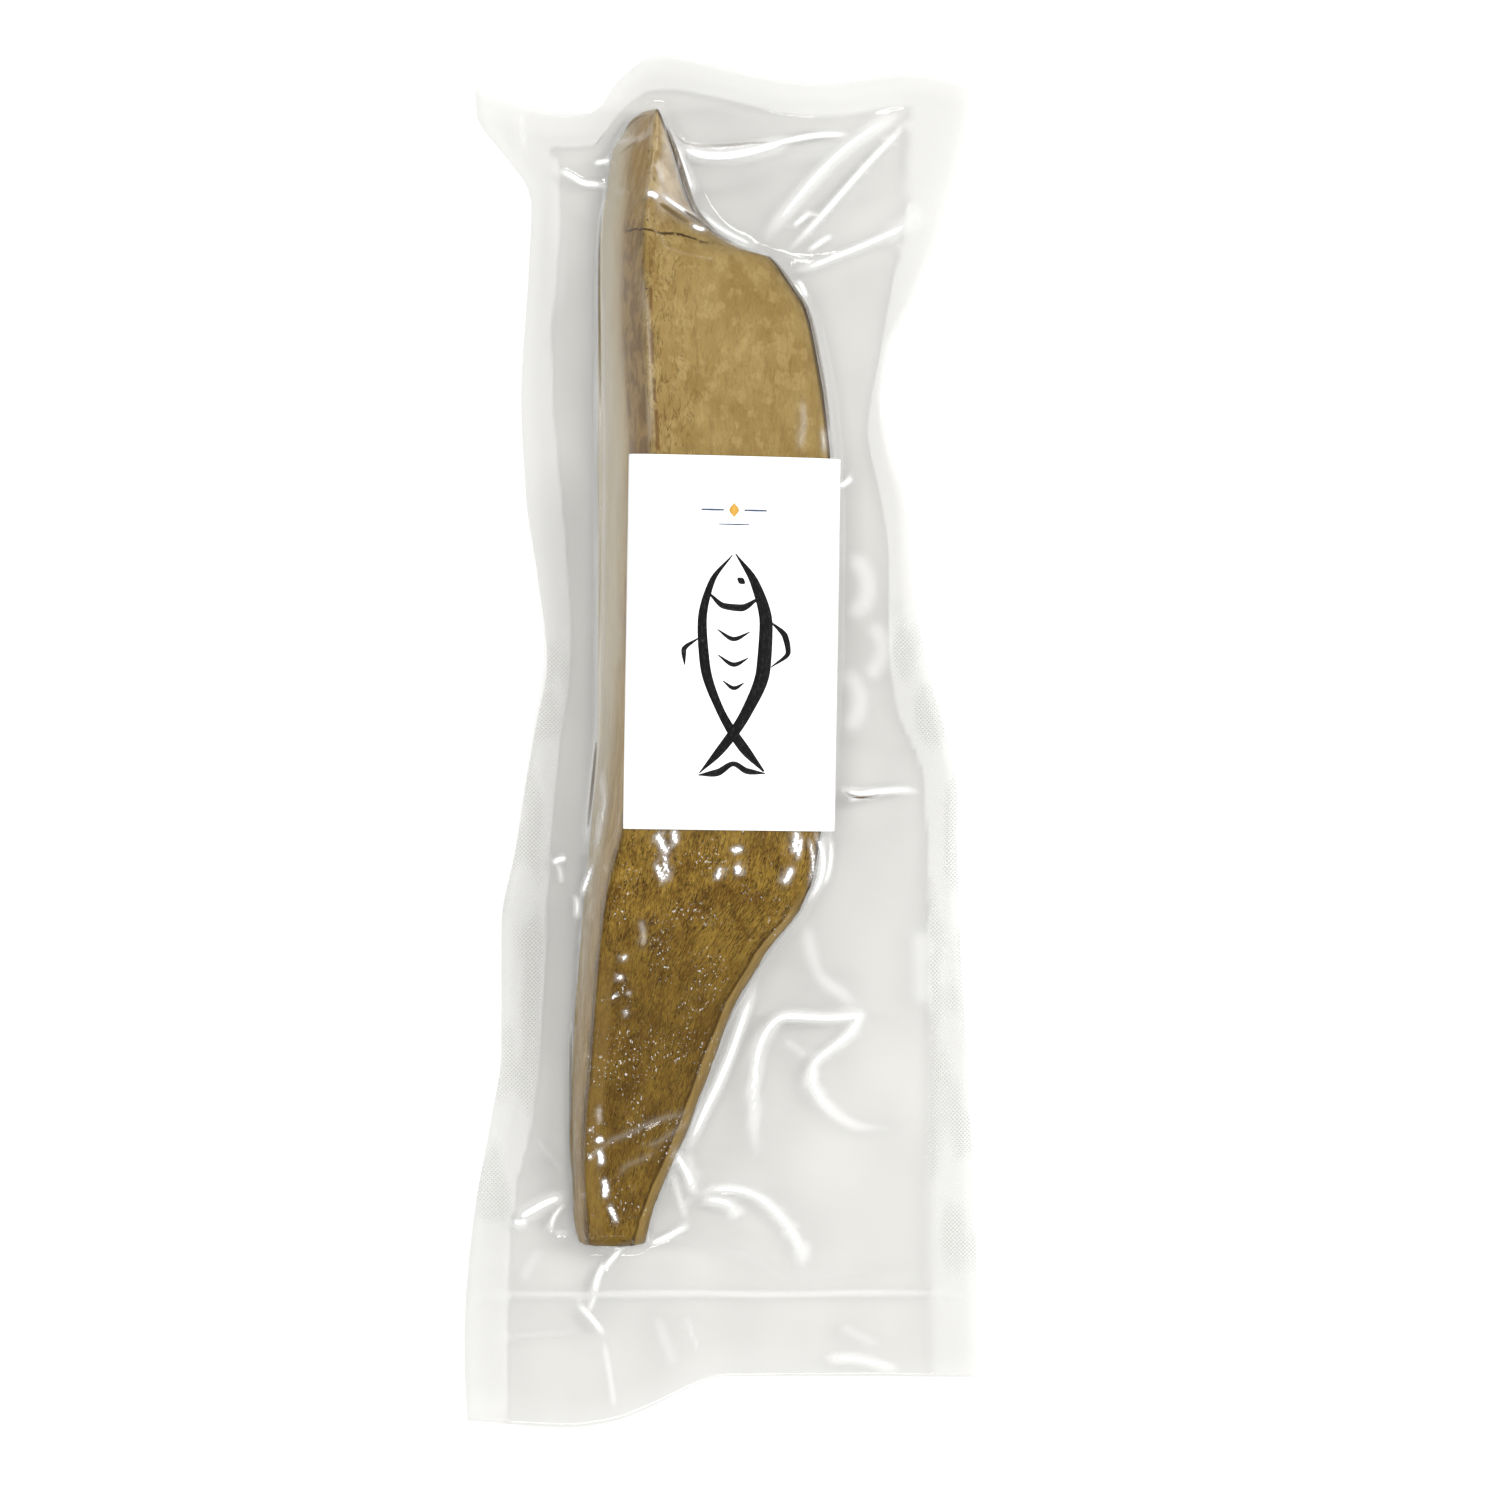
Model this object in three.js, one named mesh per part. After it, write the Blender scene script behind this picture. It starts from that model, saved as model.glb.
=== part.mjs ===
// A block of dried bonito, vacuum packed in a clear pouch, with a paper label stuck on the front film.
// The pack lies on its back. Millimetres: +X across, +Y towards the block's tip, +Z up.
// The pouch is one closed solid: the front film drawn over the block, and the back film under it.
import * as THREE from "three";
import { mergeVertices } from "three/addons/utils/BufferGeometryUtils.js";

// Pouch.
const SEAL_THICKNESS = 0.8; // both films together at the seals and in the webs
const BOTTOM_Y = -126.7; // lower edge, where the two lower corners would be level
const TOP_Y = 131.4; // upper edge, level with the two upper corners
const BOTTOM_SEAL_Y = -110; // the lower heat seal, with the loose skirt below it
const WEB_ROOT = 8.5; // height at which the two films meet beside the block
const WEB_EDGE = 2.6; // mean height of the pouch's outer edge
const FILM_PULL = 0.28; // how hard the vacuum draws the film into the corners

// Block.
const TIP_Y = 125.2;
const TAIL_Y = -99.6;
const FOOT_Z = 5; // lower edge of its left face
const TOP_CAMBER = 1.3; // how far the upper face bulges above a flat one
const SHOULDER_RADIUS = 4.5;
const END_RADIUS = 3;
const FILM_OFFSET = 0.5; // from the block to the outside of the film

// Label.
const LABEL_WIDTH = 41.4;
const LABEL_LENGTH = 73.2;
const LABEL_CENTRE = new THREE.Vector2(1.9, 19.4);
const LABEL_TURN = THREE.MathUtils.degToRad(-0.9);
const LABEL_THICKNESS = 0.5;
const LABEL_GAP = 0.3;

// Faces along and across the pouch, closer where the form turns. Each pair is where a stretch
// ends, and how many rows or columns it takes.
const ROWS = [[-110, 6], [-94, 8], [-40, 15], [-24, 7], [86, 22], [112, 16], [TOP_Y, 10]];
const COLUMNS = [6, 3, 4, 4, 3, 2, 2, 10];

// A smooth line through [position, value] pairs that never overshoots between them.
function line(points) {
  const slopes = points.slice(1).map(([at, value], i) => (value - points[i][1]) / (at - points[i][0]));
  const tangents = points.map((_, i) => {
    const before = slopes[Math.max(i - 1, 0)];
    const after = slopes[Math.min(i, slopes.length - 1)];
    return before * after > 0 ? (2 * before * after) / (before + after) : 0;
  });
  return (at) => {
    const last = points.length - 1;
    if (at <= points[0][0]) return points[0][1];
    if (at >= points[last][0]) return points[last][1];
    const i = points.findIndex((point) => point[0] > at) - 1;
    const span = points[i + 1][0] - points[i][0];
    const t = (at - points[i][0]) / span;
    const rise = points[i + 1][1] - points[i][1];
    const bend = t * (t - 1) * ((t - 1) * span * tangents[i] + t * span * tangents[i + 1]);
    return points[i][1] + rise * t * t * (3 - 2 * t) + bend;
  };
}

// Outline of the pouch: its sides as x at each y, its ends as y at each x.
const leftEdge = line([
  [-126.7, -51], [-116.5, -51.6], [-106.5, -51], [-91.5, -49.2], [-76.5, -46.4], [-61.5, -44.2],
  [-36.5, -44.2], [-21.5, -41.4], [-6.5, -39], [3.5, -37.2], [16, -35], [33.5, -37], [48.5, -39.2],
  [68.5, -40.2], [93.5, -38.8], [108.5, -38.2], [113.5, -39.4], [119, -43.6], [125, -49], [131.4, -49.6],
]);
const rightEdge = line([
  [-126.7, 51], [-101.5, 50.6], [-61.5, 48.6], [-21.5, 46.8], [-11.5, 46.8], [-1.5, 45.2],
  [13.5, 41.2], [28.5, 38.2], [48.5, 36.4], [58.5, 33.2], [68.5, 31.6], [78.5, 33], [88.5, 38],
  [103.5, 44.2], [123.5, 49.4], [131.4, 50.4],
]);
const topEdge = line([
  [-49.6, 131.4], [-38.6, 126.9], [-30.6, 125.3], [-25.6, 125.6], [-22, 130.6], [-18.6, 134.1],
  [-14.6, 136.7], [-10.6, 137.1], [-2.6, 135.7], [13.4, 132.1], [21.4, 131.5], [37.4, 133.5], [50.4, 131.4],
]);
const bottomEdge = line([
  [-51, -135.3], [-30.6, -136.7], [-22.6, -135.7], [-14.6, -132.7], [-6.6, -128.7], [0, -126.4], [51, -126.7],
]);

// The block seen from above: the foot of its left face, its ridge, and its right side.
const footX = line([
  [-99.6, -28.6], [-93, -29.7], [-80, -30.3], [-63, -29.9], [-41, -28.4], [-19, -26.3], [4, -24.9],
  [68, -24.9], [98, -24.6], [104, -24.1], [110, -23.1], [117, -22.1], [121.3, -19.9], [124.2, -18],
  [125.2, -16.5],
]);
const ridgeX = line([
  [-99.6, -26.3], [-84, -27], [-58, -25.2], [-43, -24], [-30, -22.4], [-17, -19.2], [0.5, -16.9],
  [18, -15.1], [37, -14.1], [56, -13.7], [71, -14.5], [86, -15.1], [100, -15], [112, -14.1], [125.2, -13.2],
]);
const ridgeZ = line([
  [-99.6, 13], [-84, 17], [-72, 20], [-58, 23], [-43, 26], [-30, 28], [-17, 30], [0.5, 31],
  [71, 31], [86, 30], [100, 27], [112, 22], [125.2, 16],
]);
const sideX = line([
  [-99.6, -15.6], [-91.6, -13.4], [-77.6, -7.5], [-62.7, -1.9], [-54.8, 1.1], [-41.9, 8.4],
  [-32, 15.8], [-26, 18], [-7.4, 20.3], [20, 21.7], [36, 21.9], [51.5, 21.5], [68, 20], [76, 18.6],
  [82, 17.4], [86, 16.2], [90.8, 13.1], [95.9, 9.3], [96.8, 6.4], [98.7, 1.9], [101.9, -2.7],
  [105.2, -5.5], [109.8, -7.6], [117.5, -9.6], [122.1, -11.4], [125.2, -12.6],
]);
const sideZ = line([
  [-99.6, 12], [-77.6, 15], [-54.8, 18], [-32, 21], [-18, 22.5], [36, 23], [76, 23], [92, 21],
  [97, 19.5], [105, 16.5], [125.2, 14],
]);

// The main creases of the film: their line, height and half width.
const creases = [
  { height: 1.8, width: 2.2, points: [[8, 99], [19, 113], [28, 121], [38, 126]] },
  { height: 1.4, width: 1.8, points: [[13, 98], [25, 111], [34, 120], [38, 125]] },
  { height: 1.3, width: 2.2, points: [[14, 94], [25, 98], [35, 102.5], [38, 104.5]] },
  { height: 1.6, width: 2, points: [[-8, 119], [-2, 117], [7, 118.5], [16, 121.2], [29, 122.3]] },
  { height: 1.8, width: 2, points: [[9, -58], [14, -54.5], [27.5, -55.3], [19, -65], [19.5, -71], [31, -77.3]] },
  { height: 1.2, width: 2, points: [[6, -50], [1, -65], [-8, -82]] },
  { height: 1.4, width: 2, points: [[-5, -89.2], [8, -90.4], [17, -100.8], [19, -107]] },
  { height: 1.4, width: 2.4, points: [[-24, 111.5], [-33, 112], [-40, 121]] },
  { height: 1.2, width: 2.2, points: [[-17, -100.5], [-25, -109], [-27, -120]] },
  { height: 1, width: 2.2, points: [[-33.5, -22.5], [-30.5, -41.5], [-27, -49]] },
];

const clamp = THREE.MathUtils.clamp;
const smoothstep = THREE.MathUtils.smoothstep;

// How far a round edge of this radius has fallen at this distance in from the side.
function fall(inset, radius) {
  const reach = clamp(radius - inset, 0, radius);
  return radius - Math.sqrt(radius * radius - reach * reach);
}

// Height of the block's upper surface, grown by the film, or 0 outside its outline.
function blockTop(x, y) {
  const foot = footX(y) - FILM_OFFSET;
  const side = sideX(y) + FILM_OFFSET;
  const end = Math.min(TIP_Y - y, y - TAIL_Y) + FILM_OFFSET;
  if (x < foot || x > side || end < 0) return 0;
  const crest = ridgeX(y);
  const crestZ = ridgeZ(y) + FILM_OFFSET;
  const rounding = fall(end, END_RADIUS);
  if (x < crest) {
    const t = (x - foot) / (crest - foot);
    return FOOT_Z + (crestZ - FOOT_Z - rounding) * t * (1.2 - 0.2 * t);
  }
  const t = (x - crest) / (side - crest);
  const radius = Math.min(SHOULDER_RADIUS, 0.4 * (side - crest));
  const flat = crestZ + (sideZ(y) + FILM_OFFSET - crestZ) * t + TOP_CAMBER * 4 * t * (1 - t);
  return flat - fall(side - x, radius) - rounding;
}

// Height of the seals and webs, midway between the two films: high beside the block, low at the edge.
function webHeight(x, y) {
  const left = leftEdge(y);
  const right = rightEdge(y);
  const foot = footX(y);
  const side = sideX(y);
  const inward = x < foot ? (x - left) / (foot - left) : x > side ? (right - x) / (right - side) : 1;
  const along = smoothstep(y, -112, -60) * (1 - smoothstep(y, 95, 131));
  const root = WEB_EDGE + (WEB_ROOT - WEB_EDGE) * along;
  const wave = 0.9 * Math.sin(y / 17 + 0.6) * Math.cos(x / 40) + 0.7 * Math.sin(y / 11 - x / 23);
  return WEB_EDGE + (root - WEB_EDGE) * clamp(inward, 0, 1) ** 1.6 + wave * (1 - 0.7 * clamp(inward, 0, 1));
}

// The film as a net of 1 mm meshes: pulled down to rest, held up by what it covers, and
// drawn straight in between, so that it bridges hollows and fillets the foot of each wall.
const NET_HALF_X = 54;
const NET_HALF_Y = 140;
const NET_COLUMNS = 2 * NET_HALF_X + 1;
const NET_ROWS = 2 * NET_HALF_Y + 1;
const NET_STEPS = 240;

function drapeFilm(held, rest) {
  const floor = new Float64Array(NET_COLUMNS * NET_ROWS);
  for (let j = 0; j < NET_ROWS; j++) {
    for (let i = 0; i < NET_COLUMNS; i++) {
      const x = i - NET_HALF_X;
      const y = j - NET_HALF_Y;
      floor[j * NET_COLUMNS + i] = Math.max(held(x, y), rest(x, y));
    }
  }
  let film = floor.slice();
  for (let step = 0; step < NET_STEPS; step++) {
    const next = film.slice();
    for (let j = 1; j < NET_ROWS - 1; j++) {
      for (let i = 1; i < NET_COLUMNS - 1; i++) {
        const k = j * NET_COLUMNS + i;
        const mean = (film[k - 1] + film[k + 1] + film[k - NET_COLUMNS] + film[k + NET_COLUMNS]) / 4;
        next[k] = Math.max(floor[k], mean - FILM_PULL);
      }
    }
    film = next;
  }
  return (x, y) => {
    const i = Math.floor(clamp(x + NET_HALF_X, 0, NET_COLUMNS - 2));
    const j = Math.floor(clamp(y + NET_HALF_Y, 0, NET_ROWS - 2));
    const s = x + NET_HALF_X - i;
    const t = y + NET_HALF_Y - j;
    const k = j * NET_COLUMNS + i;
    const low = film[k] * (1 - s) + film[k + 1] * s;
    const high = film[k + NET_COLUMNS] * (1 - s) + film[k + NET_COLUMNS + 1] * s;
    return low * (1 - t) + high * t;
  };
}

const halfSeal = SEAL_THICKNESS / 2;
const frontWeb = (x, y) => webHeight(x, y) + halfSeal;
const backWeb = (x, y) => webHeight(x, y) - halfSeal;
const frontDrape = drapeFilm(blockTop, frontWeb);
// The back film is the same net turned over: held down to 0 under the block.
const backDrape = drapeFilm((x, y) => (blockTop(x, y) > 0 ? 0 : -WEB_ROOT), (x, y) => -backWeb(x, y));

// Height added by the creases at a point, each running out towards its ends.
function creaseHeight(x, y) {
  let total = 0;
  for (const { height, width, points } of creases) {
    const lengths = points.slice(1).map(([px, py], i) => Math.hypot(px - points[i][0], py - points[i][1]));
    const whole = lengths.reduce((sum, length) => sum + length, 0);
    let best = { distance: Infinity, at: 0 };
    let run = 0;
    lengths.forEach((length, i) => {
      const [ax, ay] = points[i];
      const [bx, by] = points[i + 1];
      const t = clamp(((x - ax) * (bx - ax) + (y - ay) * (by - ay)) / length ** 2, 0, 1);
      const distance = Math.hypot(x - ax - t * (bx - ax), y - ay - t * (by - ay));
      if (distance < best.distance) best = { distance, at: (run + t * length) / whole };
      run += length;
    });
    const taper = Math.min(1, 5 * best.at + 0.3, 5 * (1 - best.at) + 0.3);
    total = Math.max(total, height * taper * Math.exp(-((best.distance / width) ** 2)));
  }
  return total;
}

function frontHeight(x, y) {
  return Math.max(frontDrape(x, y), blockTop(x, y), frontWeb(x, y)) + creaseHeight(x, y);
}

function backHeight(x, y) {
  const film = Math.min(-backDrape(x, y), backWeb(x, y));
  return film < 0.05 ? 0 : film + creaseHeight(x, y) * clamp(film / WEB_EDGE, 0, 1);
}

// Where a row and a column of faces cross, seen from above.
function rowPositions() {
  const rows = [BOTTOM_Y];
  for (const [end, count] of ROWS) {
    const start = rows[rows.length - 1];
    for (let i = 1; i <= count; i++) rows.push(start + ((end - start) * i) / count);
  }
  return rows;
}

function columnPositions(y) {
  const foot = footX(y) - FILM_OFFSET;
  const crest = Math.max(ridgeX(y), foot + 2.5);
  const side = Math.max(sideX(y) + FILM_OFFSET, crest + 3);
  const turn = side - Math.min(SHOULDER_RADIUS, 0.4 * (side - crest));
  const stops = [leftEdge(y), foot - 5, foot, crest, turn, side, side + 1, side + 5, rightEdge(y)];
  const columns = [stops[0]];
  COLUMNS.forEach((count, i) => {
    for (let n = 1; n <= count; n++) columns.push(stops[i] + ((stops[i + 1] - stops[i]) * n) / count);
  });
  return columns;
}

function pouchGeometry() {
  const rows = rowPositions();
  const columnCount = COLUMNS.reduce((sum, count) => sum + count, 0);
  const grid = rows.map(columnPositions);
  const geometry = new THREE.BoxGeometry(columnCount, rows.length - 1, 2, columnCount, rows.length - 1, 1);
  geometry.deleteAttribute("normal");
  geometry.deleteAttribute("uv");
  const position = geometry.getAttribute("position");
  for (let n = 0; n < position.count; n++) {
    const row = Math.round(position.getY(n) + (rows.length - 1) / 2);
    const column = Math.round(position.getX(n) + columnCount / 2);
    const x = grid[row][column];
    const raised = (topEdge(x) - TOP_Y) * smoothstep(rows[row], 98, TOP_Y);
    const skirt = clamp((BOTTOM_SEAL_Y - rows[row]) / (BOTTOM_SEAL_Y - BOTTOM_Y), 0, 1);
    const lowered = (bottomEdge(x) - BOTTOM_Y) * skirt;
    const y = rows[row] + raised + lowered;
    const z = position.getZ(n) > 0 ? frontHeight(x, y) : backHeight(x, y);
    position.setXYZ(n, x, y, z);
  }
  return geometry;
}

// The label lies flat on the upper face and runs on past the ridge and the shoulder, bending a little.
function labelHeight(x, y) {
  const crest = ridgeX(y);
  const side = sideX(y);
  const inside = clamp(x, crest + 0.5, side - SHOULDER_RADIUS);
  const step = 1;
  const at = (px) => blockTop(px, y);
  const past = x - inside;
  const slope = past > 0 ? at(inside) - at(inside - step) : at(inside + step) - at(inside);
  return at(inside) + slope * past - 0.05 * past * past * (past > 0 ? 1 : 1.2);
}

function labelGeometry() {
  const geometry = new THREE.BoxGeometry(LABEL_WIDTH, LABEL_LENGTH, 2, 12, 16, 1);
  geometry.deleteAttribute("normal");
  geometry.deleteAttribute("uv");
  const position = geometry.getAttribute("position");
  const centre = new THREE.Vector2();
  for (let n = 0; n < position.count; n++) {
    const point = new THREE.Vector2(position.getX(n), position.getY(n)).rotateAround(centre, LABEL_TURN);
    point.add(LABEL_CENTRE);
    const under = labelHeight(point.x, point.y) + LABEL_GAP;
    position.setXYZ(n, point.x, point.y, position.getZ(n) > 0 ? under + LABEL_THICKNESS : under);
  }
  return geometry;
}

function namedMesh(name, geometry, material) {
  const merged = mergeVertices(geometry, 1e-4);
  merged.computeVertexNormals();
  const mesh = new THREE.Mesh(merged, material);
  mesh.name = name;
  return mesh;
}

const filmOverBlock = new THREE.MeshStandardMaterial({ color: 0xb79f70, roughness: 0.3, metalness: 0 });
const paper = new THREE.MeshStandardMaterial({ color: 0xfafaf8, roughness: 0.6, metalness: 0 });

const pack = new THREE.Group();
const pouch = namedMesh("pouch", pouchGeometry(), filmOverBlock);
const label = namedMesh("label", labelGeometry(), paper);
pack.add(pouch, label);

// The pack's frame has its origin under the middle of the pouch.
pouch.geometry.computeBoundingBox();
const middle = pouch.geometry.boundingBox.getCenter(new THREE.Vector3());
pack.position.set(-middle.x, -middle.y, 0);

export default pack;
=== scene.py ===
import math

import bmesh
import bpy
import numpy as np
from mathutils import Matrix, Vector, noise


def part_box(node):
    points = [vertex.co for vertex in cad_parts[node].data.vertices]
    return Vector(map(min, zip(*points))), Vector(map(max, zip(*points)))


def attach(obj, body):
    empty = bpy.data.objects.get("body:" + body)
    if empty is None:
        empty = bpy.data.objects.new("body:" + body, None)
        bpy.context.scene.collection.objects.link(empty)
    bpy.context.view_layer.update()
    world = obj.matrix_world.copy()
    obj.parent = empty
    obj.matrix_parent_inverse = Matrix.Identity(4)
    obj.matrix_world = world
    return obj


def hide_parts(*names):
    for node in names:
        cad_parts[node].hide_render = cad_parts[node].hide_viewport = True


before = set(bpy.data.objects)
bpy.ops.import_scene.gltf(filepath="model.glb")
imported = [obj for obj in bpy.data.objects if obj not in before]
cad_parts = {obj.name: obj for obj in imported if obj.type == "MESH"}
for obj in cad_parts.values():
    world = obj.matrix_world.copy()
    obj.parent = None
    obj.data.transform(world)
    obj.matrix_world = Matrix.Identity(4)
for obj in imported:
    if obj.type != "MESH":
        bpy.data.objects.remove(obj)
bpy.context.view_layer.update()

# ------------------------------------------------------------------ block
# The block of dried bonito: a quarter of the fish, smoked and dried until it is as hard as wood.
# Two thirds of it are planed smooth, with a sharp ridge along the left. The tail end keeps its
# fibrous, pitted surface. Its outline is the one that the pouch's solid was drawn over.

MM = 0.001
TIP_Y = 125.2
TAIL_Y = -99.6
FOOT_Z = 5
TOP_CAMBER = 1.3
SHOULDER_RADIUS = 4.5
CORNER_RADIUS = 3
END_RADIUS = 3
UNDERSIDE_Z = 0.4
END_BULGE = 0.5
# The relief stands out less than the film's distance from the smooth block, so it never reaches it.
MOST_RELIEF = 0.3
GRAIN_WIDTH = 46
# The pack's frame is centred under the pouch, a little off the drawing that the outlines are in.
POUCH_LEFT = -51.6
POUCH_TOP = 137.1
pouch_low, pouch_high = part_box("pouch")
shift = Vector((pouch_low.x - POUCH_LEFT * MM, pouch_high.y - POUCH_TOP * MM, 0))


def line(*points):
    """A smooth line through (position, value) pairs that never overshoots between them."""
    at, value = np.array(points, float).T
    slope = np.diff(value) / np.diff(at)
    before = np.append(slope[0], slope)
    after = np.append(slope, slope[-1])
    same_way = before * after > 0
    tangent = np.where(same_way, 2 * before * after / np.where(same_way, before + after, 1), 0)

    def value_at(position):
        position = np.clip(position, at[0], at[-1])
        i = np.clip(np.searchsorted(at, position, side="right") - 1, 0, len(slope) - 1)
        span = at[i + 1] - at[i]
        t = (position - at[i]) / span
        bend = t * (t - 1) * ((t - 1) * span * tangent[i] + t * span * tangent[i + 1])
        return value[i] + (value[i + 1] - value[i]) * t * t * (3 - 2 * t) + bend

    return value_at


foot_x = line(
    (-99.6, -28.6), (-93, -29.7), (-80, -30.3), (-63, -29.9), (-41, -28.4), (-19, -26.3), (4, -24.9),
    (68, -24.9), (98, -24.6), (104, -24.1), (110, -23.1), (117, -22.1), (121.3, -19.9), (124.2, -18),
    (125.2, -16.5),
)
ridge_x = line(
    (-99.6, -26.3), (-84, -27), (-58, -25.2), (-43, -24), (-30, -22.4), (-17, -19.2), (0.5, -16.9),
    (18, -15.1), (37, -14.1), (56, -13.7), (71, -14.5), (86, -15.1), (100, -15), (112, -14.1),
    (125.2, -13.2),
)
ridge_z = line(
    (-99.6, 13), (-84, 17), (-72, 20), (-58, 23), (-43, 26), (-30, 28), (-17, 30), (0.5, 31), (71, 31),
    (86, 30), (100, 27), (112, 22), (125.2, 16),
)
side_x = line(
    (-99.6, -15.6), (-91.6, -13.4), (-77.6, -7.5), (-62.7, -1.9), (-54.8, 1.1), (-41.9, 8.4), (-32, 15.8),
    (-26, 18), (-7.4, 20.3), (20, 21.7), (36, 21.9), (51.5, 21.5), (68, 20), (76, 18.6), (82, 17.4),
    (86, 16.2), (90.8, 13.1), (95.9, 9.3), (96.8, 6.4), (98.7, 1.9), (101.9, -2.7), (105.2, -5.5),
    (109.8, -7.6), (117.5, -9.6), (122.1, -11.4), (125.2, -12.6),
)
side_z = line(
    (-99.6, 12), (-77.6, 15), (-54.8, 18), (-32, 21), (-18, 22.5), (36, 23), (76, 23), (92, 21),
    (97, 19.5), (105, 16.5), (125.2, 14),
)


def fall(inset, radius):
    """How far a round edge of this radius has dropped at this distance in from the side."""
    reach = np.clip(radius - inset, 0, radius)
    return radius - np.sqrt(radius * radius - reach * reach)


def block_top(x, y, skin=0.0):
    """Height of the block's upper surface in mm, with a skin of this thickness, or 0 beside it."""
    foot = foot_x(y) - skin
    side = side_x(y) + skin
    crest = ridge_x(y)
    crest_z = ridge_z(y) + skin
    end = np.minimum(TIP_Y - y, y - TAIL_Y) + skin
    rounding = fall(end, END_RADIUS)
    up = np.clip((x - foot) / (crest - foot), 0, 1)
    left_face = FOOT_Z + (crest_z - FOOT_Z - rounding) * up * (1.2 - 0.2 * up)
    over = np.clip((x - crest) / (side - crest), 0, 1)
    radius = np.minimum(SHOULDER_RADIUS, 0.4 * (side - crest))
    flat = crest_z + (side_z(y) + skin - crest_z) * over + TOP_CAMBER * 4 * over * (1 - over)
    upper_face = flat - fall(side - x, radius) - rounding
    height = np.where(x < crest, left_face, upper_face)
    return np.where((x < foot) | (x > side) | (end < 0), 0, height)


def smoothstep(low, high, value):
    t = np.clip((value - low) / (high - low), 0, 1)
    return t * t * (3 - 2 * t)


def field(points, scale, seed):
    """Smooth noise from -1 to 1 at each point in mm; scale is the size of its lumps along x, y, z."""
    return np.array([noise.noise(Vector((p / scale + seed).tolist())) for p in points])


def coarse_relief(points):
    """The lumps of the dried flesh that are large enough to show through the film."""
    rough = 1 - smoothstep(-26, 6, points[:, 1])
    lumps = field(points, np.array([6.0, 13.0, 6.0]), 11)
    ribs = field(points, np.array([2.1, 9.0, 2.1]), 37)
    return lumps * (0.12 + 0.22 * rough) + ribs * (0.03 + 0.2 * rough)


def fine_relief(points):
    """Fibres and pits, which the film bridges."""
    rough = 1 - smoothstep(-22, 2, points[:, 1])
    fibres = field(points, np.array([0.9, 6.5, 0.9]), 71)
    pits = np.clip(field(points, np.array([1.5, 2.6, 1.5]), 5) - 0.25, 0, 1)
    return fibres * (0.04 + 0.13 * rough) - pits * (0.12 + 0.5 * rough)


CORNER_STEPS, LEFT_STEPS, UPPER_STEPS, WALL_STEPS, UNDER_STEPS = 12, 34, 56, 26, 44
SHORTENING = 1.6


def section(y, inset):
    """The block's outline across at y, as (x, z) points from the foot over the top and back under."""
    foot, crest, side = foot_x(y), ridge_x(y), side_x(y)
    turn = np.linspace(0, 1, CORNER_STEPS, endpoint=False)
    left = np.linspace(foot, crest, LEFT_STEPS, endpoint=False)
    # The steps shorten towards the shoulder, and rounding never carries the last one past the side.
    upper = crest + (side - crest) * (1 - (1 - np.linspace(0, 1, UPPER_STEPS)) ** SHORTENING)
    upper = np.minimum(upper, side)
    corner = min(CORNER_RADIUS, 0.3 * (side - foot))
    edge = block_top(side, y)
    wall = np.linspace(edge, UNDERSIDE_Z + corner, WALL_STEPS)[1:]
    swing = turn[1:] * math.pi / 2
    under = np.linspace(side - corner, foot + corner, UNDER_STEPS, endpoint=False)
    x = np.concatenate([
        left, upper, np.full(len(wall), side), side - corner * (1 - np.cos(swing)), under,
        foot + corner * (1 - np.sin(swing)), [foot],
    ])
    z = np.concatenate([
        block_top(left, y), block_top(upper, y), wall, UNDERSIDE_Z + corner * (1 - np.sin(swing)),
        np.full(len(under), UNDERSIDE_Z), UNDERSIDE_Z + corner * (1 - np.cos(swing)),
        [(UNDERSIDE_Z + corner + FOOT_Z) / 2],
    ])
    middle = np.array([x.mean(), z.mean()])
    points = np.stack([x, z], 1)
    return middle + (points - middle) * (1 - inset)


def as_piece(name, mesh):
    """The object with this name that a finished bmesh becomes, smooth all over."""
    for face in mesh.faces:
        face.smooth = True
    data = bpy.data.meshes.new(name)
    mesh.to_mesh(data)
    mesh.free()
    piece = bpy.data.objects.new(name, data)
    bpy.context.scene.collection.objects.link(piece)
    return piece


CAP_ROWS = 10
BODY_ROWS = 285
turns = np.linspace(0, 1, CAP_ROWS, endpoint=False)[1:] * math.pi / 2
cap = [(END_BULGE * math.sin(turn), 1 - math.cos(turn)) for turn in [*turns, math.pi / 2]]
rows = [(TAIL_Y - bulge, inset) for bulge, inset in reversed(cap)]
rows += [(y, 0) for y in np.linspace(TAIL_Y, TIP_Y, BODY_ROWS)]
rows += [(TIP_Y + bulge, inset) for bulge, inset in cap]
loops = [section(min(max(y, TAIL_Y), TIP_Y), inset) for y, inset in rows]
around = len(loops[0])

mesh = bmesh.new()
bmesh.ops.create_grid(mesh, x_segments=around, y_segments=len(rows) - 1, size=1)
for vert in mesh.verts:
    step = round((vert.co.x + 1) / 2 * around)
    row = round((vert.co.y + 1) / 2 * (len(rows) - 1))
    x, z = loops[row][step % around]
    vert.co = Vector((x, rows[row][0], z))
bmesh.ops.remove_doubles(mesh, verts=mesh.verts, dist=1e-4)
bmesh.ops.recalc_face_normals(mesh, faces=mesh.faces)
mesh.normal_update()
points = np.array([vert.co for vert in mesh.verts])
x, y, z = points.T
foot, side = foot_x(y), side_x(y)
outward = np.minimum(coarse_relief(points) + fine_relief(points), MOST_RELIEF) * smoothstep(0.5, 2.5, z)
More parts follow.
